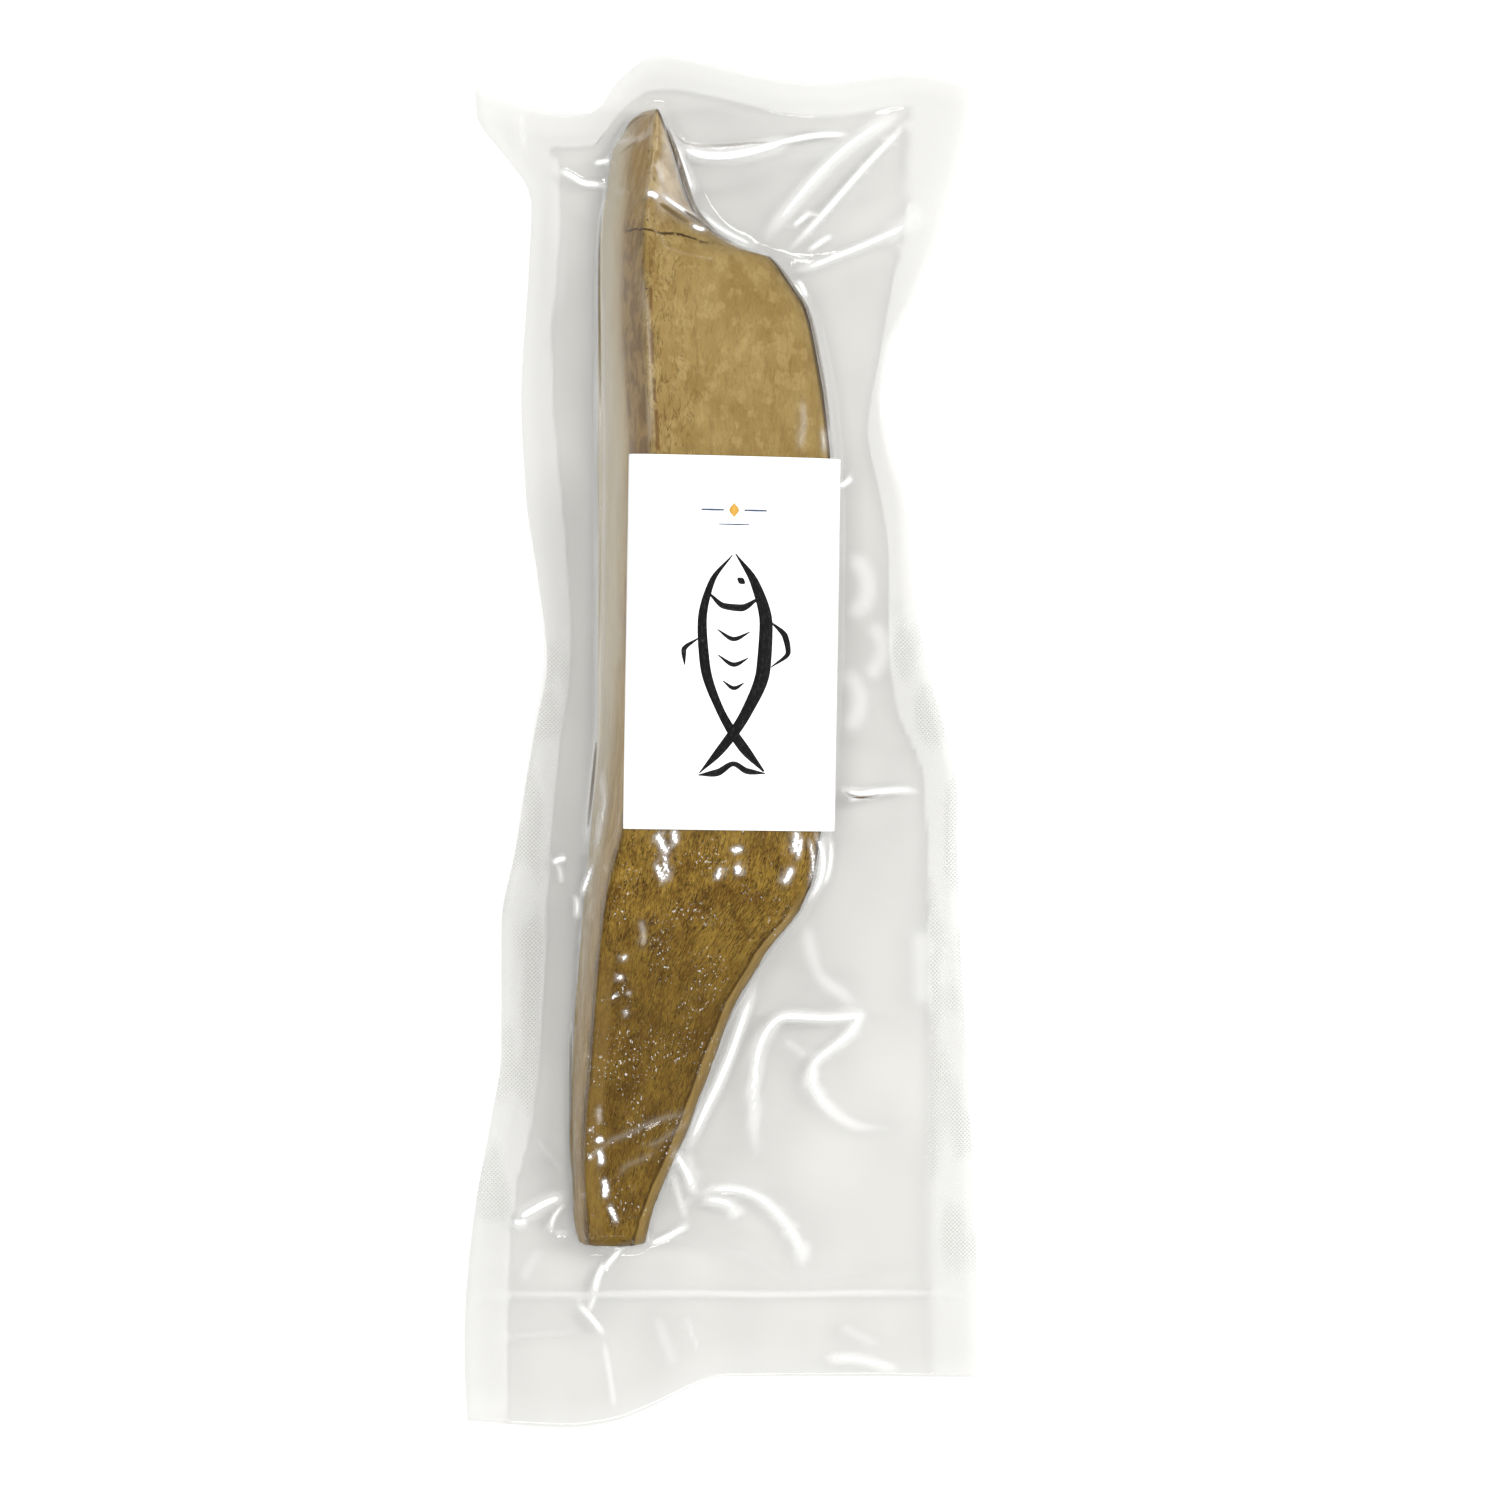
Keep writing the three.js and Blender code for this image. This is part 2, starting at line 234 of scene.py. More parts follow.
# The raw fibres follow the outline, so their pattern is laid as if the block stayed equally wide.
following = (x - (foot + side) / 2) / (side - foot) * GRAIN_WIDTH
grain = np.stack([x + (following - x) * (1 - smoothstep(-34, 8, y)), y, z], 1) * MM
from_ridge = x - ridge_x(y)
from_side = side - x
grain_layer = mesh.verts.layers.float_vector.new("grain")
ridge_layer = mesh.verts.layers.float.new("from_ridge")
side_layer = mesh.verts.layers.float.new("from_side")
for i, vert in enumerate(mesh.verts):
    vert.co = (vert.co + vert.normal * float(outward[i])) * MM + shift
    vert[grain_layer] = grain[i]
    vert[ridge_layer] = from_ridge[i]
    vert[side_layer] = from_side[i]
block = as_piece("bonito_block", mesh)


class Socket:
    """An output of a shader node. A sum or product of two of them adds the Math node for it."""

    def __init__(self, tree, output=None):
        self.tree = tree
        self.output = output

    def node(self, kind, settings=None, inputs=None, output=0):
        """Adds a node, sets it up, feeds its sockets with values or links, and gives one output."""
        added = self.tree.nodes.new(kind)
        for name, value in (settings or {}).items():
            setattr(added, name, value)
        for name, value in (inputs or {}).items():
            if isinstance(value, Socket):
                self.tree.links.new(value.output, added.inputs[name])
            else:
                added.inputs[name].default_value = value
        return Socket(self.tree, added.outputs[output] if added.outputs else None)

    def math(self, operation, other=0.0, swapped=False):
        first, second = (other, self) if swapped else (self, other)
        return self.node("ShaderNodeMath", {"operation": operation}, {0: first, 1: second})

    def __add__(self, other):
        return self.math("ADD", other)

    __radd__ = __add__

    def __mul__(self, other):
        return self.math("MULTIPLY", other)

    __rmul__ = __mul__

    def __sub__(self, other):
        return self.math("SUBTRACT", other)

    def __rsub__(self, other):
        return self.math("SUBTRACT", other, swapped=True)

    def __truediv__(self, other):
        return self.math("DIVIDE", other)

    def __pow__(self, other):
        return self.math("POWER", other)

    def between(self, low, high):
        """0 below low, 1 above high and a smooth rise between them."""
        return self.node(
            "ShaderNodeMapRange", {"interpolation_type": "SMOOTHSTEP"},
            {"Value": self, "From Min": low, "From Max": high},
        )

    def blend(self, below, above):
        """A colour that goes from below to above as this value goes from 0 to 1."""
        return self.node(
            "ShaderNodeMix", {"data_type": "RGBA"}, {0: self, 6: below, 7: above}, output=2
        )


def srgb(red, green, blue):
    """A colour given by its 8-bit screen values, as the linear colour that shaders take."""
    channels = [c / 255 for c in (red, green, blue)]
    return (*[c / 12.92 if c <= 0.04045 else ((c + 0.055) / 1.055) ** 2.4 for c in channels], 1)


def new_material(name):
    material = bpy.data.materials.new(name)
    material.use_nodes = True
    material.node_tree.nodes.clear()
    start = Socket(material.node_tree)
    place = start.node("ShaderNodeTexCoord", output="Object")
    return material, start, place


def stretched(place, size, detail=3.0, roughness=0.5, seed=0.0, distortion=0.0):
    """Noise from 0 to 1 whose lumps have this size in mm along x, y and z."""
    scaled = place.node(
        "ShaderNodeVectorMath", {"operation": "MULTIPLY_ADD"},
        {0: place, 1: [1 / (MM * s) for s in size], 2: (seed, seed, seed)},
    )
    return place.node(
        "ShaderNodeTexNoise", None,
        {"Vector": scaled, "Scale": 1, "Detail": detail, "Roughness": roughness, "Distortion": distortion},
    )


def kept(start, name):
    """A value that the mesh keeps for each vertex."""
    return start.node("ShaderNodeAttribute", {"attribute_name": name}, output="Fac")


def bumped(relief, strength, depth):
    """The normal of a surface with this relief, the whole of it this deep in mm."""
    inputs = {"Strength": strength, "Distance": depth * MM, "Height": relief}
    return relief.node("ShaderNodeBump", None, inputs, output="Normal")


def axis(place, name):
    """One coordinate of a place, in mm."""
    return place.node("ShaderNodeSeparateXYZ", None, {0: place}, output=name) / MM


material, start, place = new_material("dried_flesh")
along_fibre = start.node("ShaderNodeAttribute", {"attribute_name": "grain"}, output="Vector")
from_ridge, from_side = kept(start, "from_ridge"), kept(start, "from_side")
across, along = axis(place, "X"), axis(place, "Y")
# Grain, blotches and cracks, which both the planed and the raw flesh show.
crumbs = stretched(along_fibre, (0.55, 0.9, 0.55), detail=3, roughness=0.7, seed=40)
fuzz = stretched(along_fibre, (0.3, 1.1, 0.3), detail=3, roughness=0.7, seed=62)
streaks = stretched(along_fibre, (1.4, 9, 1.4), detail=3, roughness=0.6, seed=3)
strands = stretched(along_fibre, (0.45, 2.6, 0.45), detail=3, roughness=0.7, distortion=0.8)
fibres = stretched(along_fibre, (0.35, 3.5, 0.35), detail=4, roughness=0.75, seed=90, distortion=0.4)
grooves = stretched(along_fibre, (2.2, 9, 2.2), detail=4, roughness=0.6, seed=50, distortion=0.8)
cracks = (1 - (grooves - 0.5).math("ABSOLUTE").between(0.004, 0.024)) * crumbs.between(0.35, 0.6)
patches = stretched(place, (3, 4.5, 3), detail=3, roughness=0.6, seed=77, distortion=0.6)
dashes = (1 - strands.between(0.36, 0.46)) * patches.between(0.42, 0.62)
dark_fibres = cracks.math("MAXIMUM", dashes)
stains = stretched(place, (6, 9, 6), detail=3, seed=8, distortion=0.5)
scuffs = stretched(place, (3, 3.6, 3), detail=3, roughness=0.5, seed=21)
# The planed flesh: light brown, with pale scuffs, and darker and more fibrous next to the ridge.
planed = stains.between(0.3, 0.7).blend(srgb(138, 114, 66), srgb(153, 131, 82))
planed = (streaks.between(0.5, 0.7) * 0.3).blend(planed, srgb(116, 92, 46))
planed = (scuffs.between(0.52, 0.62) * 0.42).blend(planed, srgb(172, 151, 101))
planed = (fuzz.between(0.35, 0.65) * 0.3).blend(planed, srgb(126, 101, 54))
near_ridge = 1 - from_ridge.between(3, 12)
planed = (dark_fibres * (0.12 + near_ridge * 0.6)).blend(planed, srgb(88, 64, 26))
# The raw flesh: deep brown with pale and dark fibres, a pale bevelled strip along the ridge and
# another along the cut side, and a darker band near the tail.
raw = (stains * 0.5 + patches * 0.5).between(0.38, 0.62).blend(srgb(88, 62, 14), srgb(138, 109, 42))
raw = (fibres.between(0.5, 0.72) * 0.6).blend(raw, srgb(160, 131, 60))
raw = ((1 - fibres.between(0.3, 0.5)) * 0.65).blend(raw, srgb(68, 46, 12))
raw = (fuzz.between(0.45, 0.7) * 0.4).blend(raw, srgb(172, 138, 60))
raw = ((1 - fuzz.between(0.3, 0.48)) * 0.5).blend(raw, srgb(62, 42, 12))
raw = (dark_fibres * 0.9).blend(raw, srgb(46, 30, 8))
raw = (crumbs.between(0.6, 0.72) * streaks.between(0.45, 0.6) * 0.5).blend(raw, srgb(188, 160, 96))
dark_band = along.between(-104, -70) * (1 - along.between(-52, -26))
raw = (dark_band * 0.45).blend(raw, srgb(74, 53, 14))
bevel_strip = from_ridge.between(-0.5, 0.3) * (1 - from_ridge.between(2.4, 3.4))
bevel_strip = bevel_strip * (1 - along.between(-55, -35))
raw = (bevel_strip * 0.5).blend(raw, srgb(130, 104, 54))
below_shoulder = 1 - along.between(-36, -28)
raw = ((1 - from_side.between(1.7, 2.2)) * below_shoulder * 0.85).blend(raw, srgb(150, 124, 70))
cut_line = 1 - (from_side - 2.3).math("ABSOLUTE").between(0.1, 0.4)
cut_line = cut_line * below_shoulder * fuzz.between(0.3, 0.5)
raw = (cut_line * 0.7).blend(raw, srgb(62, 42, 14))
colour = (1 - along.between(-24, 4)).blend(planed, raw)
# The tip, paler with a painted sheen of the film over it, and the left face: pale towards its foot
# and streaked lighter with a painted sheen of the film that covers it at a slant, dark in a band
# beside the ridge, and pitted with small pores along the ridge itself.
near_tip = along.between(99, 109)
painted_tip_sheen = scuffs.between(0.4, 0.6).blend(srgb(152, 129, 88), srgb(188, 168, 132))
colour = (near_tip * 0.6).blend(colour, painted_tip_sheen)
# Painted sheen: the left face goes pale and grey towards its foot, and lighter in streaks, as the film
# over it would reflect light there.
left_face = 1 - from_ridge.between(-1.6, -0.6)
beside = (from_ridge + (stains - 0.5) * 4).between(-8, -2)
beside = beside.blend(srgb(184, 172, 143), srgb(154, 127, 78))
beside = (streaks.between(0.4, 0.65) * 0.4).blend(beside, srgb(196, 178, 140))
colour = left_face.blend(colour, beside)
by_ridge = from_ridge.between(-5.5, -4) * (1 - from_ridge.between(-0.9, -0.4)) * along.between(10, 30)
darker = patches.between(0.4, 0.6).blend(srgb(98, 68, 28), srgb(142, 112, 62))
colour = (by_ridge * (1 - near_tip * 0.6) * 0.75).blend(colour, darker)
ridge_line = (1 - (from_ridge - 1.1).math("ABSOLUTE").between(0.15, 0.5)) * along.between(52, 58)
ridge_line = ridge_line * (1 - along.between(92, 100)) * patches.between(0.4, 0.55)
colour = (ridge_line * 0.75).blend(colour, srgb(96, 66, 32))
pores = crumbs.between(0.6, 0.66) * (1 - (from_ridge + 0.3).math("ABSOLUTE").between(0.5, 2))
pores = pores * along.between(55, 90)
colour = pores.blend(colour, srgb(40, 26, 12))
# A shallow saw line runs across the planed face below the tip.
saw_wander = (stretched(place, (5, 5, 5), detail=3, seed=5) - 0.5) * 3
saw_line = 1 - (along + across * 0.15 - 98.1 + saw_wander).math("ABSOLUTE").between(0.1, 0.34)
saw_line = saw_line * across.between(-19.5, -17.5) * (1 - across.between(-6, 1))
saw_line = saw_line * streaks.between(0.35, 0.5)
colour = (saw_line * 0.9).blend(colour, srgb(50, 32, 14))
# Painted shade on the right side and its upper edge, which turn away from the light.
wall = (1 - from_side.between(0.3, 0.9)) * (1 - below_shoulder * 0.7)
colour = (wall * 0.85).blend(colour, srgb(70, 50, 22))
relief = crumbs * 0.4 + fuzz * 0.4 - cracks * 0.5 - saw_line * 0.8
surface = start.node(
    "ShaderNodeBsdfPrincipled", None,
    {"Base Color": colour, "Roughness": 0.6 + scuffs * 0.2, "Specular IOR Level": 0.06,
     "Normal": bumped(relief, 0.5, 0.4)},
)
start.node("ShaderNodeOutputMaterial", None, {"Surface": surface})
block.data.materials.append(material)
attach(block, "root")
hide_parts("pouch")

# ------------------------------------------------------------------ pouch
# The pouch: a front and a back sheet of clear nylon film, a tenth of a millimetre thick, sealed
# together down both sides and across both ends. The vacuum draws them tight over the block and
# against each other beside it, and creases them where the flat sheets have film to spare.

FILM = 0.1
FILM_GAP = 0.03
SKIN = 0.45
WEB_ROOT = 8.5
WEB_EDGE = 2.6
BOTTOM_Y = -126.7
TOP_Y = 131.4
BOTTOM_SEAL_Y = -110

left_edge = line(
    (-126.7, -51), (-116.5, POUCH_LEFT), (-106.5, -51), (-91.5, -49.2), (-76.5, -46.4), (-61.5, -44.2),
    (-36.5, -44.2), (-21.5, -41.4), (-6.5, -39), (3.5, -37.2), (16, -35), (33.5, -37), (48.5, -39.2),
    (68.5, -40.2), (93.5, -38.8), (108.5, -38.2), (113.5, -39.4), (119, -43.6), (125, -49), (131.4, -49.6),
)
right_edge = line(
    (-126.7, 51), (-101.5, 50.6), (-61.5, 48.6), (-21.5, 46.8), (-11.5, 46.8), (-1.5, 45.2), (13.5, 41.2),
    (28.5, 38.2), (48.5, 36.4), (58.5, 33.2), (68.5, 31.6), (78.5, 33), (88.5, 38), (103.5, 44.2),
    (123.5, 49.4), (131.4, 50.4),
)
top_edge = line(
    (-49.6, 131.4), (-38.6, 126.9), (-30.6, 125.3), (-25.6, 125.6), (-22, 130.6), (-18.6, 134.1),
    (-14.6, 136.7), (-10.6, POUCH_TOP), (-2.6, 135.7), (13.4, 132.1), (21.4, 131.5), (37.4, 133.5),
    (50.4, 131.4),
)
bottom_edge = line(
    (-51, -135.3), (-30.6, -136.7), (-22.6, -135.7), (-14.6, -132.7), (-6.6, -128.7), (0, -126.4),
    (51, -126.7),
)

# Each crease is its height, its half width, the strength of the highlight painted along it and then its
# line, in mm.
WEB_CREASES = [
    # above and beside the pointed end
    (1, 1.7, 0.74, (7.7, 99), (11.1, 103.8), (15.4, 109), (20.6, 115), (24.9, 118.9), (29.2, 122),
     (33.5, 124.5), (37.4, 126.5)),
    (0.6, 0.6, 0.82, (12.2, 96.9), (16.3, 101.2), (21.5, 106.9), (26.6, 112.9), (31.4, 118.1),
     (35.3, 122), (37.5, 126)),
    (0.4, 0.55, 0.76, (13.7, 102.5), (15.9, 104.3), (17.8, 106)),
    (0.4, 0.55, 0.76, (16.7, 97.6), (19.7, 99.8), (21.9, 101.2)),
    (0.7, 0.9, 0.84, (13.3, 93.7), (17.2, 94.4), (22.3, 96.7), (26.6, 98.4), (31, 100.4), (35.3, 102.3),
     (38.7, 105.6)),
    (0.3, 2.4, 0.5, (31.3, 100), (35.2, 102.1), (39.6, 106.7)),
    (0.9, 1.6, 1, (-9.8, 119.6), (-7.8, 118.1), (-3.6, 116.8), (0.8, 116.8), (5.1, 117.6), (10.3, 119.1),
     (14.6, 120.4)),
    (0.4, 0.6, 0.9, (7.4, 118.6), (10.3, 119.3), (14.6, 120.4), (20.2, 121.3), (26.6, 121.1)),
    (0.6, 1.2, 0.9, (-10, 119.4), (-8.7, 116.8), (-7.2, 112.5), (-5.7, 108.6)),
    (0.5, 0.7, 0.8, (-4.8, 105.6), (-1.4, 102.5), (1.6, 100.8), (5.1, 99.1), (7.2, 98.7)),
    (0.4, 0.55, 0.8, (14.4, 92), (15.6, 90.9), (16.3, 89.2), (16.7, 87.9)),
    (0.5, 2.5, 0.2, (-11.5, 128.8), (-0.6, 125.8), (11.4, 125.4), (25.3, 127), (36.2, 128.8)),
    # the doubled film at the upper left
    (0.8, 0.6, 0.9, (-33.2, 114.3), (-30, 112.9), (-28.2, 111.5), (-25.5, 111.1), (-23.2, 110.9)),
    (0.5, 0.55, 0.8, (-25.9, 115.4), (-24.1, 115.6), (-22.1, 116.1)),
    (0.4, 0.6, 0.4, (-40.4, 126.2), (-40.2, 121.8), (-39.8, 117.9)),
    (0.4, 1.6, 0.25, (-32.4, 110.9), (-32.2, 98), (-32.6, 84)),
    # beside the label
    (0.4, 0.5, 0.72, (24.5, -11.4), (27.5, -11), (31, -10)),
    (0.6, 0.8, 0.86, (22.9, -8.8), (26.5, -10.3), (31.3, -9.7), (36.6, -9.4), (39.6, -10)),
    (0.5, 0.6, 0.85, (22.8, 50.6), (24.4, 51.6), (25.9, 52.9)),
    (0.3, 2.6, 0.48, (24.9, 38.3), (28.9, 33.3), (28.9, 28.3), (24.3, 24.4)),
    (0.3, 2.4, 0.48, (28.9, 24.4), (32.1, 20.4), (31.3, 15.4), (27.7, 12.4)),
    (0.3, 2.6, 0.48, (23.7, 15.4), (27.3, 10.4), (26.9, 5.5), (24.1, 1.5)),
    (0.3, 0.8, 0.35, (-24.8, 2.5), (-25.6, -3.5), (-26.8, -11.4), (-27.6, -19.4), (-28, -23.7)),
    # right of the raw end
    (0.4, 1.8, 0.45, (16.3, -34.5), (17.7, -43.1), (20.1, -47.7), (24.9, -50.7), (27.1, -53.5)),
    (0.8, 1.2, 0.9, (6.6, -84.2), (6, -70), (6.8, -61.5), (8.8, -56.9), (11.6, -54.3), (15.8, -54.5),
     (21.1, -54.9), (27, -54.4), (27.3, -54.7), (25.7, -57.7), (21.9, -60.7), (18.7, -63.1),
     (17.6, -65.3), (18.2, -69), (21.1, -73), (24.9, -75.8), (28.7, -77), (33.7, -76.6)),
    (0.3, 3, 0.48, (39.6, -36), (40, -44), (40.4, -54)),
    (0.4, 1.1, 0.35, (12, -58.7), (14.4, -60.7), (17, -62.7)),
    (0.8, 1.1, 0.95, (6.8, -47.2), (4.4, -53.8), (1.6, -62.2), (-1.2, -68.5), (-3.6, -73.3), (-6, -78.6),
     (-7.9, -82.4)),
    (0.6, 1, 0.9, (-9.4, -80), (-8.9, -82.4), (-7, -85.8), (-5.3, -90.6)),
    (0.5, 1.2, 0.6, (-7.7, -81.1), (-6.5, -84.1), (-5.5, -89)),
    (0.5, 0.8, 0.6, (-10.4, -84.4), (-8.9, -90.2), (-7, -95.5)),
    (0.6, 0.8, 0.9, (-15.2, -100.3), (-10.8, -98.4), (-6.5, -95.9)),
    (0.5, 1.3, 0.8, (-4.5, -91), (-0.2, -91.1), (2.2, -92.6), (2.8, -95.4)),
    (0.8, 1.1, 0.85, (-5.9, -91), (-4.1, -89.7), (-0.2, -88.7), (4.6, -89.2), (8.4, -91.2), (12.4, -95.4),
     (15.3, -100.2), (17.3, -106.1)),
    # across the bottom seal and down the skirt below it
    (0.6, 0.7, 0.9, (-23.4, -103.4), (-24.9, -106.3), (-25.8, -110.2)),
    (0.6, 0.6, 0.8, (-19.1, -99.5), (-22.5, -103.4), (-24.4, -105.8)),
    (0.5, 0.6, 0.8, (-29.2, -111.6), (-26.3, -114.5), (-23.4, -118.4)),
    (0.4, 0.6, 0.6, (-25.1, -109.2), (-26.1, -111.8), (-26.9, -113.6)),
    (0.4, 0.9, 0.2, (-16.5, -99.2), (-4.2, -99.4), (8, -103.6), (11.4, -106.8), (18.6, -106.6),
     (28.5, -105.4), (36.5, -104.4)),
    (0.5, 0.6, 0.4, (-50.3, -110), (-30, -110.3), (-10, -109.6), (10, -110.2), (31.5, -109.5),
     (50.1, -110)),
    (0.5, 0.7, 0.25, (-45.6, -118.5), (-38.5, -118.1), (-31.5, -117.7), (-26.5, -117.1)),
    (0.3, 0.7, 0.5, (-23.9, -118.9), (-22.5, -126.1), (-21.5, -133.4)),
    (0.3, 0.6, 0.4, (-7.5, -114), (-6.2, -117.7), (-4.6, -121.8)),
    (0.3, 1.4, 0.3, (-13.5, -113.6), (-10.9, -121.1), (-9.4, -125.1)),
    (0.5, 1.3, 0.7, (20, -123), (26.4, -122.8), (30.5, -123.8), (35.3, -125.4)),
    (0.5, 1.6, 0.35, (22.6, -116), (28.5, -119), (31.9, -120.4)),
    # left of the raw end
    (0.8, 1.7, 0.85, (-41.5, -95.4), (-38.4, -93.4), (-34.8, -91.4), (-31.2, -90.2)),
    (0.4, 1.3, 0.9, (-41.9, -95.2), (-40.6, -95.8), (-38.8, -95.2)),
    (0.5, 0.6, 0.7, (-34.2, -98), (-34.2, -95.4), (-32.4, -92.6), (-31, -91.6)),
    (0.4, 0.6, 0.5, (-33.6, -98.4), (-32.4, -97.4), (-30.8, -98.2)),
    (0.4, 0.8, 0.25, (-37.8, -78.1), (-34.8, -81.7), (-31.6, -85.8)),
    (0.4, 1.6, 0.3, (-40.4, -107.9), (-38, -103.3), (-36.4, -101)),
    (0.7, 0.65, 0.9, (-34, -24.3), (-32.9, -23.3), (-30.9, -23)),
    (0.5, 0.6, 0.6, (-33.1, -23.7), (-32.3, -25.7), (-32.1, -28.3)),
    (0.7, 0.6, 0.8, (-26, -23.7), (-26.2, -25.7), (-27.2, -28.1), (-28, -30.7)),
    (0.6, 0.6, 0.7, (-29.4, -29.9), (-28.8, -32.3), (-29.2, -35.3)),
]
# Wrinkles of the film over the block, in the same form: small lifts of the film with highlights painted
# along them.
BLOCK_WRINKLES = [
    # round the pointed end and along the ridge
    (0.5, 0.6, 1, (-15, 107.4), (-13.9, 107.8), (-12.5, 106.8)),
    (0.5, 0.5, 0.76, (-12.7, 108.2), (-9.8, 106), (-6.4, 104), (-3.6, 102.1)),
    (0.4, 0.5, 0.9, (-6.2, 101.9), (-4.6, 100.9), (-3.1, 101.1)),
    (0.4, 0.5, 0.5, (-21.9, 119.5), (-18.8, 119.2), (-16, 119.2), (-14.5, 120.1), (-13.9, 121.8)),
    (0.3, 0.5, 0.5, (-12.9, 114.5), (-12.5, 112.1), (-11.7, 110.2)),
    (0.25, 0.5, 0.4, (-15.7, 91.9), (-15.1, 88.4), (-14.5, 82.5), (-14.1, 74.7), (-13.9, 66.9),
     (-13.7, 56.1)),
    (0.3, 0.6, 0.5, (-23.7, 97.6), (-23.9, 87.7), (-23.7, 71.8), (-23.5, 56), (-23.7, 36.1),
     (-24.1, 20.3), (-24.6, -3.5)),
    (0.35, 0.6, 0.6, (-24.1, -5.5), (-23.5, -9.4), (-23.1, -11.8), (-23.7, -14.4), (-24.3, -17.4),
     (-24.9, -21.3)),
    # on the shoulder and round its lower corner
    (0.2, 0.8, 0.45, (15.4, 67.6), (16, 64.3), (15.8, 60.9), (15, 57)),
    (0.2, 0.55, 0.6, (19.5, 61.7), (19.9, 59.4), (19.9, 56.8)),
    (0.7, 0.6, 0.9, (17.7, -17.1), (19.2, -19.7), (20, -22.9), (19.8, -26.2), (18.3, -29.8),
     (16.5, -31.8)),
    (0.5, 0.5, 0.7, (16.7, -18.3), (17.7, -21.3), (17.9, -24.8), (16.9, -28)),
    (0.5, 0.55, 0.7, (21, -17.9), (21.6, -21.3), (21.2, -25.6), (19.6, -29.2)),
    # painted wet-looking glints on the raw part
    (0.25, 0.8, 1, (-12.8, -17.3), (-12, -19.7), (-10.6, -22.2)),
    (0.25, 0.7, 1, (-9.9, -16.9), (-9.1, -18.3), (-9.5, -20.1)),
    (0.2, 0.55, 0.9, (-13.2, -23.4), (-12.2, -25.4), (-11.4, -27.7)),
    (0.2, 0.5, 0.8, (-11.4, -21.1), (-11, -24.2), (-11.2, -27.7)),
    (0.25, 0.7, 1, (1.5, -21.6), (2.9, -20.9), (4, -21.2)),
    (0.2, 0.6, 1, (2.7, -23.8), (3.2, -25.2), (2.7, -26.1)),
    (0.2, 0.5, 0.9, (-0.3, -24.2), (-0.7, -25.7), (-1.2, -26.9)),
    (0.3, 0.8, 1, (14.6, -16.9), (14.4, -19.5), (14, -22.2)),
    (0.3, 0.75, 1, (13.8, -24.2), (13, -26.1), (12, -28.1)),
    (0.2, 0.5, 0.8, (15.4, -17.9), (15.2, -21.1), (14.6, -23.4)),
    (0.2, 0.5, 0.9, (-19.4, -41.6), (-19, -42.6)),
    (0.2, 0.5, 0.9, (-20.2, -45.5), (-19.8, -46.7)),
    (0.2, 0.5, 0.9, (-21.4, -49.6), (-21, -50.2)),
    (0.2, 0.5, 0.7, (-18.5, -48.8), (-18.3, -49.6)),
    (0.2, 0.5, 0.7, (-19.2, -52.3), (-18.8, -53.7)),
    (0.2, 0.5, 0.6, (-16.1, -34.7), (-15.3, -37.7), (-15.7, -40.2)),
    (0.25, 0.6, 1, (-25, -77.9), (-24.2, -78.5), (-23.4, -77.9)),
    (0.25, 0.6, 1, (-24.6, -79.9), (-23.8, -82), (-24.2, -83.6)),
    (0.25, 0.6, 1, (-23.8, -86), (-23, -87.2), (-23.2, -90.2)),
    (0.2, 0.5, 0.9, (-22.6, -91.3), (-21.6, -93.1), (-20.9, -95.1)),
    (0.2, 0.5, 0.7, (-26.2, -76.1), (-25.8, -76.7)),
    (0.2, 0.5, 0.7, (-26, -81), (-26.2, -82.4)),
    (0.3, 0.6, 0.34, (-25.5, -80.5), (-21.9, -78.3), (-18.2, -77), (-13.5, -74.6), (-10, -73.6),
     (-5.8, -73.4)),
    (0.3, 0.6, 0.3, (-15.9, -79.9), (-12.3, -78.7), (-10, -77), (-6.4, -74.6)),
    (0.3, 0.6, 0.28, (-20.7, -85.8), (-19.2, -83.4), (-15.9, -82.3), (-12.9, -80.5)),
    (0.2, 0.5, 0.6, (-24.2, -71.6), (-24.4, -73.5), (-24, -74.9)),
]
